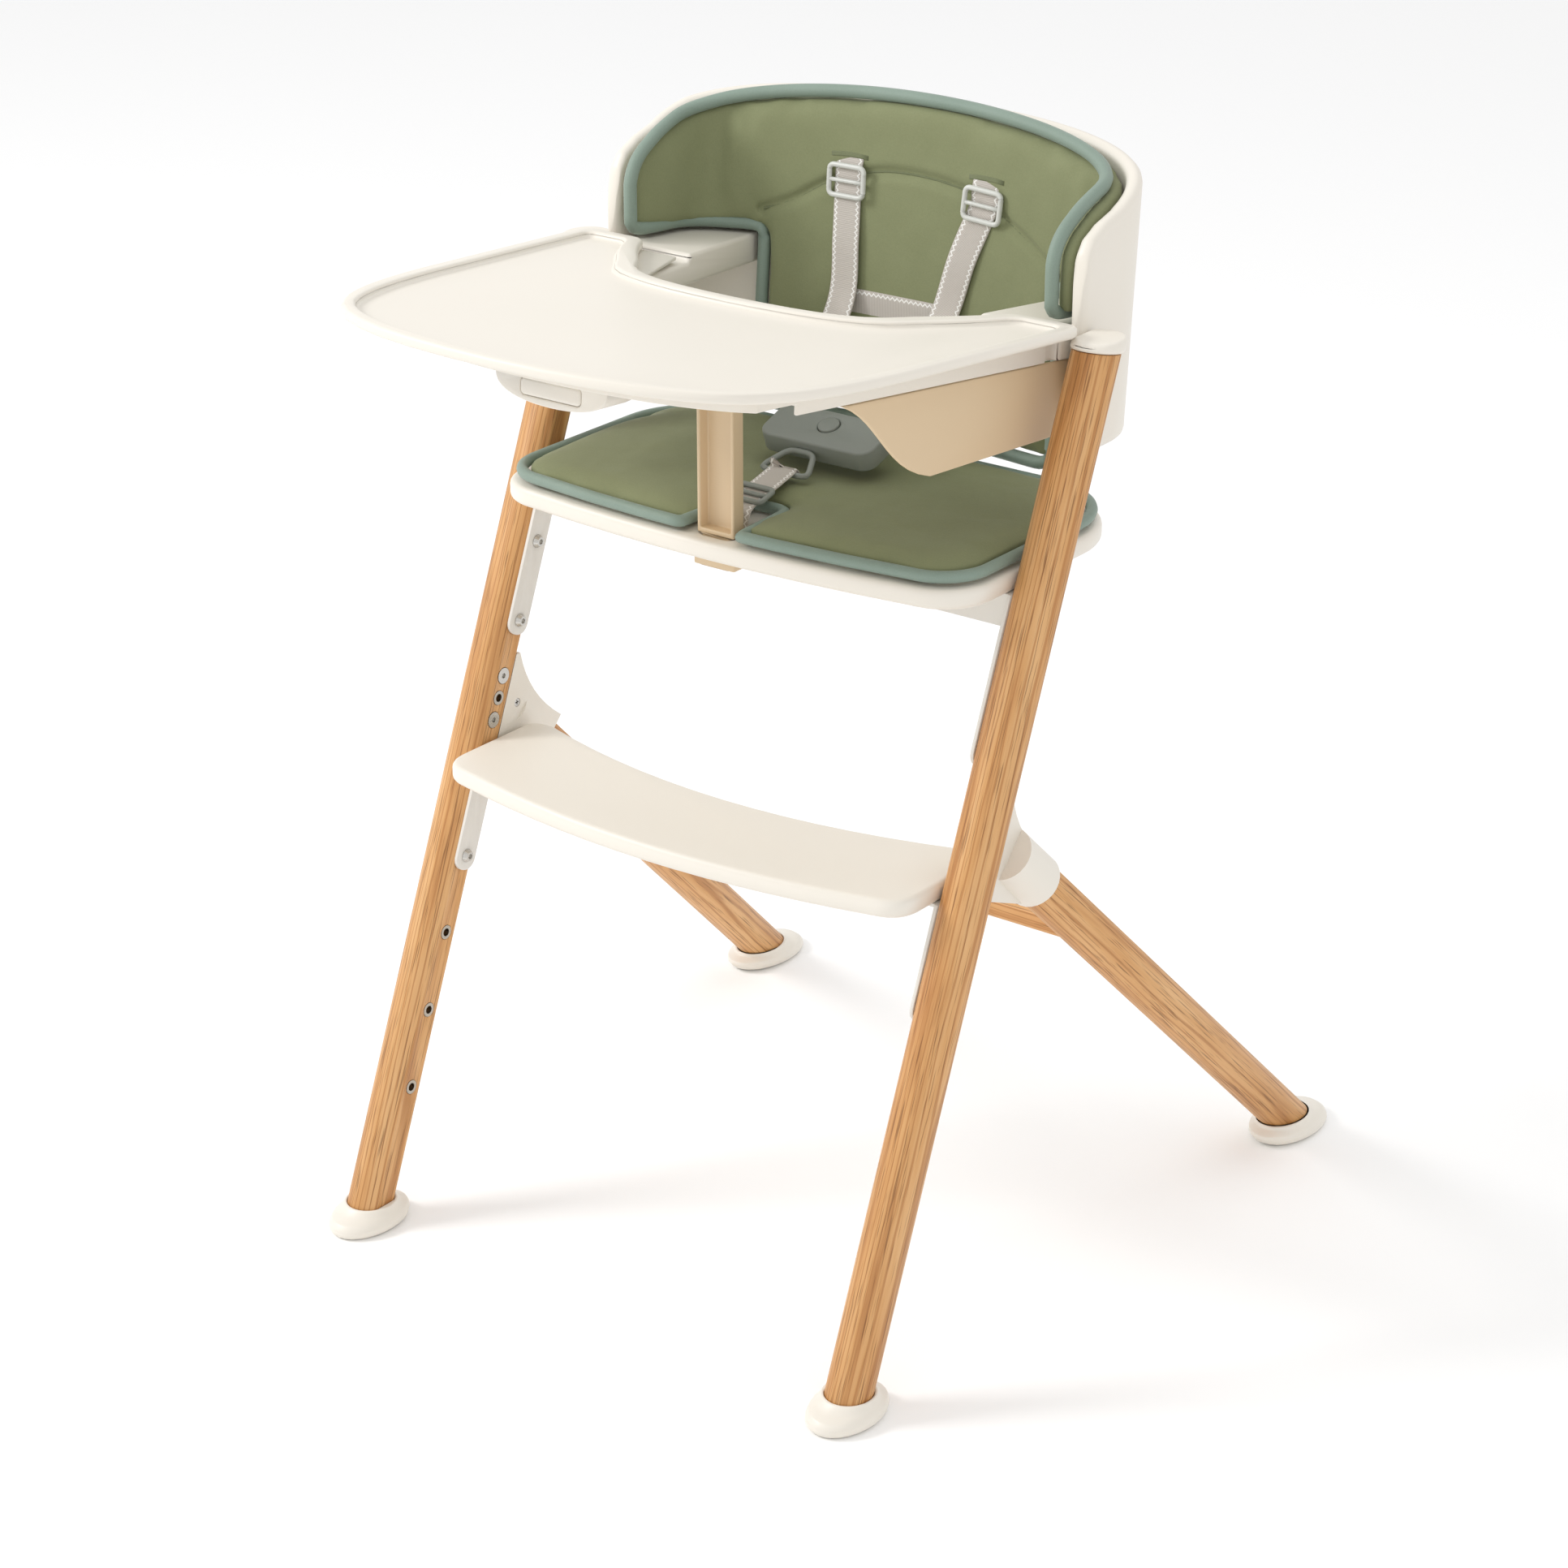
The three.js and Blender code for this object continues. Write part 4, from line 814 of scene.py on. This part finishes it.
class Wrap:
    """The shell's plan at one inset as a line, to lay the cushion, its piping and the straps on."""

    def __init__(self, inset: float) -> None:
        """Measure the line.

        Args:
            inset: in from the shell's outside, in metres.
        """
        line = [shell_plan(1 - k / 600, inset, SHELL_PIVOT) for k in range(601)]
        steps = [(b - a).length for a, b in zip(line, line[1:])]
        run = np.concatenate([[0.0], np.cumsum(steps)])
        self.reach = float(run[-1] / 2)
        self.run = run - self.reach
        self.x = np.array([p.x for p in line])
        self.y = np.array([p.y for p in line])

    def flat(self, s: float) -> Vector:
        """Find a point of the line.

        Args:
            s: metres along it from the middle of the back, positive towards +X.

        Returns:
            The point at the height where the lean is nothing.
        """
        x, y = (float(np.interp(s, self.run, values)) for values in (self.x, self.y))
        return Vector((x, y, SHELL_PIVOT))

    def at(self, s: float, z: float, out: float = 0.0) -> Vector:
        """Find a point on the wrapped face.

        Args:
            s: metres along it from the middle of the back, positive towards +X.
            z: the height.
            out: metres further into the seat.

        Returns:
            The point in the row frame.
        """
        point = self.flat(s)
        along = (self.flat(s + 0.003) - self.flat(s - 0.003)).normalized()
        y = point.y - out * along.x + shell_lean(point.y, z)
        return Vector((point.x + out * along.y, y, z))

    def across(self, x: float) -> float:
        """Find how far along the line a distance across the chair is.

        Args:
            x: metres from the middle, positive.

        Returns:
            The metres along the line.
        """
        half = self.run >= 0
        return float(np.interp(x, np.maximum.accumulate(self.x[half]), self.run[half]))

    def beside(self, y: float) -> float:
        """Find how far along the line a place on its straight side is.

        Args:
            y: the place, in the row frame.

        Returns:
            The metres along the line.
        """
        return self.reach - (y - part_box("back_shell")[0].y)


@dataclass
class BackShell:
    """The wrapped back shell: a leaning superellipse wall with a rolled lip."""

    finishes: Palette
    wall: float = 0.012
    slope: float = 0.31
    columns: int = 150

    def rim(self, y: float) -> float:
        """Find the height of the rim.

        Args:
            y: how far back, in the row frame.

        Returns:
            The height, along the slope at the back and down the S-curve at the front.
        """
        lo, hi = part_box("back_shell")
        top = hi.z - self.slope * (hi.y - y)
        front = y - lo.y
        roll = [(0.0, SHELL_PIVOT + 0.012), (0.0025, 0.785), (0.006, 0.806), (0.012, 0.8165), (0.024, 0.824)]
        roll += [(0.045, 0.830), (0.08, hi.z - self.slope * (hi.y - lo.y - 0.08))]
        if front >= roll[-1][0]:
            return top
        for (d0, z0), (d1, z1) in zip(roll, roll[1:]):
            if front <= d1:
                share = (front - d0) / (d1 - d0)
                return z0 + (z1 - z0) * share
        return top

    def build(self) -> None:
        """Sweep the rounded wall section round the plan."""
        lo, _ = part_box("back_shell")
        rings = []
        corner = 6
        for i in range(self.columns + 1):
            swing = math.cos(math.pi * i / self.columns)  # closer columns where the plan turns
            share = 0.5 - 0.5 * swing * (0.35 + 0.65 * abs(swing) ** 0.2)
            middle = shell_plan(share, self.wall / 2, SHELL_PIVOT)
            end = min(middle.y - lo.y, 0.008) / 0.008
            half = self.wall / 2 * math.sqrt(max(1 - (1 - end) ** 2, 0.02))
            high, low = self.rim(middle.y), lo.z
            radius = half * 0.98
            ring = []
            for sign, bottom in ((1, False), (-1, True)):
                for k in range(corner + 1):
                    angle = math.pi * k / corner
                    out = math.cos(angle) * sign
                    rise = math.sin(angle) * radius
                    z = (low + radius - rise) if bottom else (high - radius + rise)
                    ring.append(shell_plan(share, self.wall / 2 - half * out, z))
                if not bottom:
                    inner = [high - radius - (high - low - 2 * radius) * t for t in (0.2, 0.4, 0.6, 0.8)]
                    ring += [shell_plan(share, self.wall / 2 + half, z) for z in inner]
                else:
                    outer = [low + radius + (high - low - 2 * radius) * t for t in (0.2, 0.4, 0.6, 0.8)]
                    ring += [shell_plan(share, self.wall / 2 - half, z) for z in outer]
            rings.append(ring)
        shell = grid("back_shell_look", rings)
        settle(shell, self.finishes, Slot.WHITE, "back_shell")


@dataclass
class SeatAndFootrest:
    """The seat plate, footrest, brackets, armrests, side panels and crotch post."""

    finishes: Palette

    def build(self) -> None:
        """Make each moulding from its CAD node, with the radius its edges have."""
        edges = {
            "seat_plate": (0.0045, 4, Slot.WHITE),
            "footrest_plate": (0.005, 4, Slot.WHITE),
            "seat_bracket": (0.0005, 2, Slot.ENAMEL),
            "footrest_bracket": (0.0005, 2, Slot.ENAMEL),
            "armrest_left": (0.0035, 4, Slot.WHITE),
            "side_panel_left": (0.0011, 3, Slot.CREAM),
            "armrest_right": (0.0035, 4, Slot.WHITE),
            "side_panel_right": (0.0011, 3, Slot.CREAM),
            "crotch_post": (0.0013, 3, Slot.CREAM),
            "post_clip": (0.0015, 3, Slot.CREAM),
        }
        for node, (bevel, segments, slot) in edges.items():
            settle(refined(node, bevel, segments), self.finishes, slot, node)


@dataclass
class Tray:
    """The sliding tray base with its release handle, and the lift-off cover."""

    finishes: Palette

    def build(self) -> None:
        """Make the three tray pieces."""
        edges = {
            "tray_cover": (0.0028, 4, Body.COVER),
            "tray_base": (0.001, 3, Body.TRAY),
            "tray_release_button": (0.0025, 3, Body.RELEASE),
        }
        for node, (bevel, segments, body) in edges.items():
            settle(refined(node, bevel, segments), self.finishes, Slot.WHITE, node, body=body)


@dataclass
class Cushions:
    """The padded seat and back, swelled by a short cloth simulation, with their piping and seams."""

    finishes: Palette
    padding: float = 0.0165
    half: float = 0.1385  # of the part between the armrests
    binding: float = 0.0046

    def swell(
        self, obj: bpy.types.Object, cap: float, shrink: float, voxel: float = 0.0045
    ) -> bpy.types.Object:
        """Inflate a cushion.

        Args:
            obj: the cushion's plain shape.
            cap: how far a point may move, in metres.
            shrink: how far the shape is drawn in first, in metres.
            voxel: the remesh size, in metres.

        Returns:
            The same object, swelled.
        """
        remesh = obj.modifiers.new("remesh", "REMESH")
        remesh.mode = "VOXEL"
        remesh.voxel_size = voxel
        self.bake(obj)
        normals = np.array([v.normal for v in obj.data.vertices])
        start = np.array([v.co for v in obj.data.vertices]) - normals * shrink
        self.place(obj, start)
        cloth = obj.modifiers.new("cloth", "CLOTH")
        cloth.settings.use_pressure = True
        cloth.settings.uniform_pressure_force = 4
        cloth.settings.effector_weights.gravity = 0
        cloth.settings.quality = 4
        cloth.settings.tension_stiffness = 30
        cloth.settings.bending_stiffness = 2
        cloth.point_cache.frame_start = 1
        cloth.point_cache.frame_end = CLOTH_FRAMES
        scene = bpy.context.scene
        for number in range(1, CLOTH_FRAMES + 1):
            scene.frame_set(number)
        self.bake(obj)
        scene.frame_set(1)
        moved = np.array([v.co for v in obj.data.vertices]) - start
        far = np.linalg.norm(moved, axis=1)
        keep = np.minimum(1.0, cap / np.maximum(far, 1e-9))
        self.place(obj, start + moved * keep[:, None])
        self.calm(obj, 5)
        smoother = obj.modifiers.new("subdivide", "SUBSURF")
        smoother.levels = 1
        smoother.render_levels = 1
        self.bake(obj)
        obj.data.shade_smooth()
        return obj

    def place(self, obj: bpy.types.Object, points: np.ndarray) -> None:
        """Move a mesh's points.

        Args:
            obj: the object.
            points: one row for each point.
        """
        obj.data.vertices.foreach_set("co", points.astype(np.float32).ravel())
        obj.data.update()

    def bake(self, obj: bpy.types.Object) -> None:
        """Replace a mesh with its evaluated shape, and drop its modifiers.

        Args:
            obj: the object.
        """
        graph = bpy.context.evaluated_depsgraph_get()
        baked = bpy.data.meshes.new_from_object(obj.evaluated_get(graph))
        obj.modifiers.clear()
        obj.data = baked

    def calm(self, obj: bpy.types.Object, rounds: int) -> None:
        """Smooth out the remesh's steps.

        Args:
            obj: the object.
            rounds: how many passes.
        """
        made = bmesh.new()
        made.from_mesh(obj.data)
        for _ in range(rounds):
            bmesh.ops.smooth_vert(
                made, verts=made.verts, factor=0.5, use_axis_x=True, use_axis_y=True, use_axis_z=True
            )
        made.to_mesh(obj.data)
        made.free()

    def groove(
        self,
        obj: bpy.types.Object,
        line: Sequence[Vector],
        into: Callable[[Vector], Vector],
        deep: float,
        wide: float = 0.0042,
    ) -> None:
        """Press a sewn line into a swelled face.

        Args:
            obj: the cushion.
            line: the seam's points.
            into: the direction into the cushion, at a point.
            deep: how deep the line is at its middle, in metres.
            wide: how far off its middle it is a third as deep, in metres.
        """
        seam = np.array(line)
        points = np.array([v.co for v in obj.data.vertices])
        for i, point in enumerate(points):
            gap = np.min(np.linalg.norm(seam - point, axis=1))
            if gap < 0.014:
                push = deep * math.exp(-((gap / wide) ** 2))
                points[i] = point + np.array(into(Vector(point))) * push
        self.place(obj, points)

    def build(self) -> None:
        """Make both cushions with their piping."""
        self.make_seat()
        self.make_back()

    def make_seat(self) -> None:
        """Swell the seat cushion and bind its edge."""
        lo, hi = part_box("seat_cushion")
        obj = refined("seat_cushion", 0.0)
        seat = settle(self.swell(obj, 0.006, 0.0012), self.finishes, Slot.SAGE, "seat_cushion")
        outline = rim_loop(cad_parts["seat_cushion"], lo.z)
        middle = (lo.z + hi.z) / 2
        line = [Vector((p.x, p.y, middle + 0.0006)) for p in evenly(outline, 0.005)]
        piping = tube("seat_piping", line, self.binding, closed=True)
        settle(piping, self.finishes, Slot.SAGE, finish="piping")

    def back_outline(self, face: Wrap) -> list[Vector]:
        """Draw the back cushion flat.

        Args:
            face: the wrapped face it lies on.

        Returns:
            Its outline, with metres along the face as x and the height as y.
        """
        lo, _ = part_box("back_cushion")
        body = face.across(self.half)

        def ledge(y: float) -> float:
            """Find the height of the cushion's lower edge over the armrests."""
            return ARM_ORIGIN.z + (ARM_ORIGIN.y - y) * math.tan(ARM_TILT) + 0.008

        front = lo.y - 0.001
        wing = [
            (face.beside(front + 0.09), ledge(front + 0.09)),
            (face.beside(front + 0.05), ledge(front + 0.05)),
            (face.beside(front + 0.012), ledge(front)),
            (face.beside(front + 0.001), ledge(front) + 0.006),
            (face.beside(front), 0.777),
            (face.beside(front + 0.001), 0.796),
            (face.beside(front + 0.008), 0.813),
            (face.beside(front + 0.023), 0.826),
            (face.beside(front + 0.045), 0.8355),
            (0.19, 0.8445),
            (0.165, 0.851),
            (0.13, 0.857),
            (0.09, 0.8615),
            (0.045, 0.8645),
        ]
        corner = [
            (body, lo.z + 0.012),
            (body, 0.65),
            (body, 0.70),
            (body, ledge(0.13) - 0.012),
            (body + 0.003, ledge(0.13) - 0.002),
            (body + 0.014, ledge(0.13)),
        ]
        foot = [(0.0, lo.z + 0.002), (body - 0.03, lo.z + 0.002), (body - 0.006, lo.z + 0.005)]
        half = [Vector((a, b, 0)) for a, b in foot + corner + wing] + [Vector((0, 0.8655, 0))]
        mirror = [Vector((-p.x, p.y, 0)) for p in reversed(half[1:-1])]
        return spline(half + mirror, 620, closed=True)

    def pad(self, outline: Sequence[Vector], face: Wrap, cell: float = 0.004) -> bpy.types.Object:
        """Make the back cushion's plain shape.

        Args:
            outline: its flat outline.
            face: the wrapped face it lies on.
            cell: the size of its faces.

        Returns:
            The closed shape.
        """
        edge = np.array([(p.x, p.y) for p in outline])
        far = np.roll(edge, -1, axis=0)
        lows = np.floor(edge.min(axis=0) / cell).astype(int) - 1
        highs = np.ceil(edge.max(axis=0) / cell).astype(int) + 1

        def inside(x: float, z: float) -> bool:
            """Tell whether a flat point lies in the outline."""
            straddles = (edge[:, 1] > z) != (far[:, 1] > z)
            rise = np.where(straddles, far[:, 1] - edge[:, 1], 1.0)
            cross = edge[:, 0] + (z - edge[:, 1]) / rise * (far[:, 0] - edge[:, 0])
            return bool(np.count_nonzero(straddles & (x < cross)) % 2)

        cells = {
            (i, j)
            for i in range(lows[0], highs[0])
            for j in range(lows[1], highs[1])
            if inside((i + 0.5) * cell, (j + 0.5) * cell)
        }
        corners: dict[tuple[int, int], int] = {}
        for i, j in sorted(cells):
            for corner in ((i, j), (i + 1, j), (i + 1, j + 1), (i, j + 1)):
                corners.setdefault(corner, len(corners))
        flat = []
        for i, j in corners:
            around = sum((i + a, j + b) in cells for a in (-1, 0) for b in (-1, 0))
            spot = np.array((i * cell, j * cell))
            if around < 4:
                spot = edge[np.argmin(np.linalg.norm(edge - spot, axis=1))]
            flat.append(spot)
        verts = [face.at(s, z) for s, z in flat] + [face.at(s, z, -self.padding) for s, z in flat]
        count, faces = len(flat), []
        for i, j in sorted(cells):
            a, b, c, d = (corners[k] for k in ((i, j), (i + 1, j), (i + 1, j + 1), (i, j + 1)))
            faces += [(a, b, c, d), (d + count, c + count, b + count, a + count)]
            edges = ((a, b, 0, -1), (b, c, 1, 0), (c, d, 0, 1), (d, a, -1, 0))
            for p, q, right, up in edges:
                if (i + right, j + up) not in cells:
                    faces.append((q, p, p + count, q + count))
        obj = mesh_object("back_cushion_look", verts, faces)
        outward(obj)
        return obj

    def make_back(self) -> None:
        """Swell the back cushion, bind its edge and sew the arch across it."""
        face = Wrap(CUSHION_INSET)
        outline = self.back_outline(face)
        back = self.swell(self.pad(outline, face), 0.005, 0.0012)
        body, ledge = face.across(self.half), ARM_ORIGIN.z + 0.012
        places = [(-body, ledge + 0.008), (-0.112, 0.776), (-0.075, 0.796), (-0.022, 0.808)]
        places += [(0.045, 0.803), (0.1, 0.779), (body, ledge - 0.002)]
        arch = spline([Vector((a, b, 0)) for a, b in places], 160)
        seam = [face.at(p.x, p.y, 0.001) for p in arch]
        self.groove(back, seam, lambda p: Vector((p.x, p.y - 0.03, 0)).normalized(), 0.0062)
        # a darker olive cord at the bottom of the arch groove: the seam's thread, darkened as painted shade
        # of the crease
        thread = tube("back_seam", [face.at(p.x, p.y) for p in arch], 0.001, sides=6)
        settle(thread, self.finishes, Slot.SAGE, finish="lining")
        settle(back, self.finishes, Slot.SAGE, "back_cushion")
        line = evenly([face.at(p.x, p.y, -0.0045) for p in outline], 0.005)
        piping = tube("back_piping", line, self.binding + 0.0006, closed=True)
        settle(piping, self.finishes, Slot.SAGE, finish="piping")
        for name in ("left", "right"):
            lo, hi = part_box(f"strap_adjuster_{name}")
            x, z = (lo.x + hi.x) / 2, hi.z + 0.007
            # a thin darker olive strip on the face above each adjuster: painted shade of the strap slit's
            # opening
            slit = ribbon(
                f"painted_slit_shade_{name}",
                [face.at(x + t * 0.0165, z - t * t * 0.001, 0.0038) for t in (-1, -0.5, 0, 0.5, 1)],
                lambda _: Vector((0, 0.2, 1)),
                0.0035,
                0.001,
            )
            settle(slit, self.finishes, Slot.SAGE, finish="lining")


def rim_loop(node: bpy.types.Object, z: float) -> list[Vector]:
    """Trace the outline of a CAD slab at its bottom.

    Args:
        node: the CAD node's object.
        z: the height of the bottom.

    Returns:
        The outline's points, in order.
    """
    made = bmesh.new()
    made.from_mesh(node.data)
    bmesh.ops.remove_doubles(made, verts=made.verts, dist=2e-6)
    low = [e for e in made.edges if all(abs(v.co.z - z) < 1e-5 for v in e.verts)]
    rim = [e for e in low if any(abs(f.normal.z) < 0.5 for f in e.link_faces)]
    links: dict[int, list[int]] = {}
    for edge in rim:
        a, b = (v.index for v in edge.verts)
        links.setdefault(a, []).append(b)
        links.setdefault(b, []).append(a)
    made.verts.ensure_lookup_table()
    start = next(iter(links))
    path, last, here = [start], None, start
    while True:
        ahead = [n for n in links[here] if n != last]
        if not ahead or ahead[0] == start:
            break
        last, here = here, ahead[0]
        path.append(here)
    points = [made.verts[i].co.copy() for i in path]
    made.free()
    return points


def evenly(line: Sequence[Vector], step: float) -> list[Vector]:
    """Space a closed line's points evenly.

    Args:
        line: the loop's points.
        step: the distance between the new points, in metres.

    Returns:
        The new points.
    """
    loop = list(line) + [line[0]]
    lengths = [(b - a).length for a, b in zip(loop, loop[1:])]
    total = sum(lengths)
    count = max(8, round(total / step))
    made, at, walked = [], 0, 0.0
    for k in range(count):
        want = total * k / count
        while walked + lengths[at] < want:
            walked += lengths[at]
            at += 1
        made.append(loop[at].lerp(loop[at + 1], (want - walked) / max(lengths[at], 1e-9)))
    return made


@dataclass
class Harness:
    """The five-point harness: shoulder straps, adjusters, waist strap, buckle and crotch strap."""

    finishes: Palette

    def glide(
        self, name: str, centre: Vector, wide: Vector, tall: Vector, size: tuple[float, float]
    ) -> bpy.types.Object:
        """Make a strap adjuster: a rounded frame with a bar across it.

        Args:
            name: the object's name.
            centre: its middle.
            wide: the direction across the strap.
            tall: the direction along the strap.
            size: its width and height, between the middles of its bars.

        Returns:
            The new object.
        """
        half, high, round_off = size[0] / 2, size[1] / 2, 0.004
        corners = [(half - round_off, high - round_off, 0), (round_off - half, high - round_off, 90)]
        corners += [(round_off - half, round_off - high, 180), (half - round_off, round_off - high, 270)]
        loop = []
        for x, z, turn in corners:
            for k in range(5):
                angle = math.radians(turn + 22.5 * k)
                out, rise = x + round_off * math.cos(angle), z + round_off * math.sin(angle)
                loop.append(centre + wide * out + tall * rise)
        frame = tube(name, evenly(loop, 0.0015), 0.0021, closed=True, sides=12)
        bar = tube(name + "_bar", [centre + wide * half * t for t in (-1, -0.5, 0, 0.5, 1)], 0.0017, sides=10)
        return joined(frame, bar)

    def build(self) -> None:
        """Make the straps and their fittings."""
        self.shoulders()
        face = Wrap(CUSHION_INSET)
        lo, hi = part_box("waist_strap")
        z = (lo.z + hi.z) / 2
        places = [lo.x + (hi.x - lo.x) * t / 16 for t in range(17)]
        line = [face.at(x, z, 0.0035) for x in places]
        waist = ribbon("waist_strap_look", line, lambda _: Vector((0, 0, 1)))
        settle(waist, self.finishes, Slot.WEBBING, "waist_strap")
        self.buckle()
        self.crotch()

    def shoulders(self) -> None:
        """Hang both shoulder straps, each through its adjuster."""
        face = Wrap(CUSHION_INSET)
        lo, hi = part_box("buckle_body")
        buckle = (lo + hi) / 2
        for side, sign in (("left", -1), ("right", 1)):
            lo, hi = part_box(f"strap_adjuster_{side}")
            x, z = (lo.x + hi.x) / 2, (lo.z + hi.z) / 2
            drift = 0.003 if sign < 0 else -0.034
            turn = drift * 0.5
            points = [
                face.at(x, z + 0.0175, 0.003),
                face.at(x, z + 0.010, 0.0045),
                face.at(x, z, 0.0048),
                face.at(x + turn * 0.3, z - 0.014, 0.0055),
                face.at(x + turn, z - 0.045, 0.007),
                face.at(x + turn * 1.7, z - 0.09, 0.010),
                Vector((x + drift * 1.1, face.at(x + drift, 0.66).y - 0.035, z - 0.132)),
                Vector((buckle.x + sign * 0.034, buckle.y + 0.03, buckle.z + 0.018)),
            ]
            strap = ribbon(f"shoulder_strap_{side}_look", spline(points, 70), lambda _: Vector((1, 0, 0)))
            settle(strap, self.finishes, Slot.WEBBING, f"shoulder_strap_{side}")
            tall = Vector((-drift * 2, SHELL_LEAN, 1)).normalized()
            wide = Vector((1, 0, drift * 2)).normalized()
            centre = face.at(x, z, 0.0082)
            slide = self.glide(f"strap_adjuster_{side}_look", centre, wide, tall, (0.0325, 0.0235))
            settle(slide, self.finishes, Slot.PALE_GREY, f"strap_adjuster_{side}")

    def buckle(self) -> None:
        """Make the buckle with its button."""
        shell = refined("buckle_body", 0.0022, 3, clamp=True)
        settle(shell, self.finishes, Slot.GREY, "buckle_body")
        button = refined("buckle_button", 0.0006, 2, clamp=True)
        settle(button, self.finishes, Slot.GREY, "buckle_button", body=Body.BUCKLE)

    def crotch(self) -> None:
        """Make the crotch strap, its slider and the loop it hangs from."""
        lo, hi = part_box("crotch_loop")
        middle = (lo.x + hi.x) / 2
        drop = 0.003
        shape = [
            (middle - 0.0225, lo.y + drop, lo.z + 0.0025),
            (middle + 0.0225, lo.y + drop, lo.z + 0.0025),
            (middle + 0.0115, hi.y - drop, hi.z - 0.0025),
            (middle - 0.0115, hi.y - drop, hi.z - 0.0025),
        ]
        rounded = []
        for i, here in enumerate(shape):
            before, after = Vector(shape[i - 1]), Vector(shape[(i + 1) % 4])
            point = Vector(here)
            first = point + (before - point).normalized() * 0.006
            last = point + (after - point).normalized() * 0.006
            rounded += [first, first.lerp(last, 0.5).lerp(point, 0.45), last]
        loop = tube("crotch_loop_look", evenly(rounded, 0.002), 0.0024, closed=True, sides=12)
        settle(loop, self.finishes, Slot.GREY, "crotch_loop")
        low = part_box("crotch_strap")[0]
        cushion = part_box("seat_cushion")[1].z
        front = low.y + 0.0012
        points = [
            Vector((0, front, low.z)),
            Vector((0, front, cushion - 0.008)),
            Vector((-0.001, front + 0.007, cushion + 0.002)),
            Vector((-0.003, front + 0.030, cushion + 0.0065)),
            Vector((middle, lo.y + drop - 0.003, lo.z + 0.0045)),
            Vector((middle, lo.y + drop + 0.001, lo.z + 0.0066)),
            Vector((middle, lo.y + drop + 0.0045, lo.z + 0.003)),
        ]
        strap = ribbon("crotch_strap_look", spline(points, 46), lambda _: Vector((1, 0, 0)))
        settle(strap, self.finishes, Slot.WEBBING, "crotch_strap")
        along = (points[3] - points[2]).normalized()
        centre = points[2].lerp(points[3], 0.62) + Vector((0, 0, 0.0032))
        slider = self.glide("crotch_slider", centre, Vector((1, 0, 0)), along, (0.0325, 0.0205))
        settle(slider, self.finishes, Slot.GREY)


@dataclass
class Studio:
    """A pale seamless floor under soft light, and the camera."""

    finishes: Palette
    lens: float = 85.8
    aim: tuple[float, float, float] = (0.0350, -0.0761, 0.3866)
    place: tuple[float, float, float] = (1.6028, -2.1709, 1.5161)

    def build(self) -> None:
        """Lay the floor and set the lights and the camera."""
        floor = mesh_object(
            "studio_floor", [(-30, -30, 0), (30, -30, 0), (30, 30, 0), (-30, 30, 0)], [(0, 1, 2, 3)]
        )
        floor.data.materials.append(self.finishes["floor"])
        floor.location.z = -0.0004
        world = bpy.data.worlds.new("studio")
        bpy.context.scene.world = world
        world.use_nodes = True
        world.node_tree.nodes["Background"].inputs["Color"].default_value = (1, 1, 1, 1)
        world.node_tree.nodes["Background"].inputs["Strength"].default_value = 0.88
        bpy.context.scene.view_settings.view_transform = "Standard"
        self.light("key", (-2.6, -2.0, 2.7), 1.1, 66)
        self.light("fill", (1.8, -2.6, 1.6), 2.4, 3)
        self.light("top", (0.2, 0.9, 3.2), 2.2, 7)
        camera = bpy.data.cameras.new("camera")
        camera.lens = self.lens
        camera.sensor_width = 36
        camera.clip_end = 100
        holder = bpy.data.objects.new("camera", camera)
        bpy.context.scene.collection.objects.link(holder)
        holder.location = self.place
        holder.rotation_euler = (Vector(self.aim) - Vector(self.place)).to_track_quat("-Z", "Y").to_euler()
        bpy.context.scene.camera = holder

    def light(self, name: str, place: tuple[float, float, float], size: float, power: float) -> None:
        """Hang one soft area light that points at the chair.

        Args:
            name: the light's name.
            place: where it hangs.
            size: the side of its square, in metres.
            power: its power, in watts.
        """
        lamp = bpy.data.lights.new(name, "AREA")
        lamp.size = size
        lamp.energy = power
        holder = bpy.data.objects.new(name, lamp)
        bpy.context.scene.collection.objects.link(holder)
        holder.location = place
        holder.rotation_euler = (Vector((0, 0, 0.45)) - Vector(place)).to_track_quat("-Z", "Y").to_euler()


# ---------------------------------------------------------------- the whole scene

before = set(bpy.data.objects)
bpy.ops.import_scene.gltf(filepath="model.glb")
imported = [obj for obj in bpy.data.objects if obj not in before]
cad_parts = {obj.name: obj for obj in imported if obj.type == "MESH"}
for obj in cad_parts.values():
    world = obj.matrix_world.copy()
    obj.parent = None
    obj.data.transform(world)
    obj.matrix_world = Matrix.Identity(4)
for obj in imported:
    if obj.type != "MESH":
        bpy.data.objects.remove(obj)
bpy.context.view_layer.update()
ARM_ORIGIN = Vector((0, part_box("armrest_left")[1].y - ARM_PIVOT_INSET, SHELL_PIVOT))


def main() -> None:
    """Build every sub-assembly and log each one as it is built."""
    logging.basicConfig(level=logging.INFO)
    finishes = Palette().build()
    for part in (Legs, BackShell, SeatAndFootrest, Tray, Cushions, Harness, Studio):
        part(finishes).build()
        log.info("built %s", part.__name__)


if __name__ == "__main__":
    main()
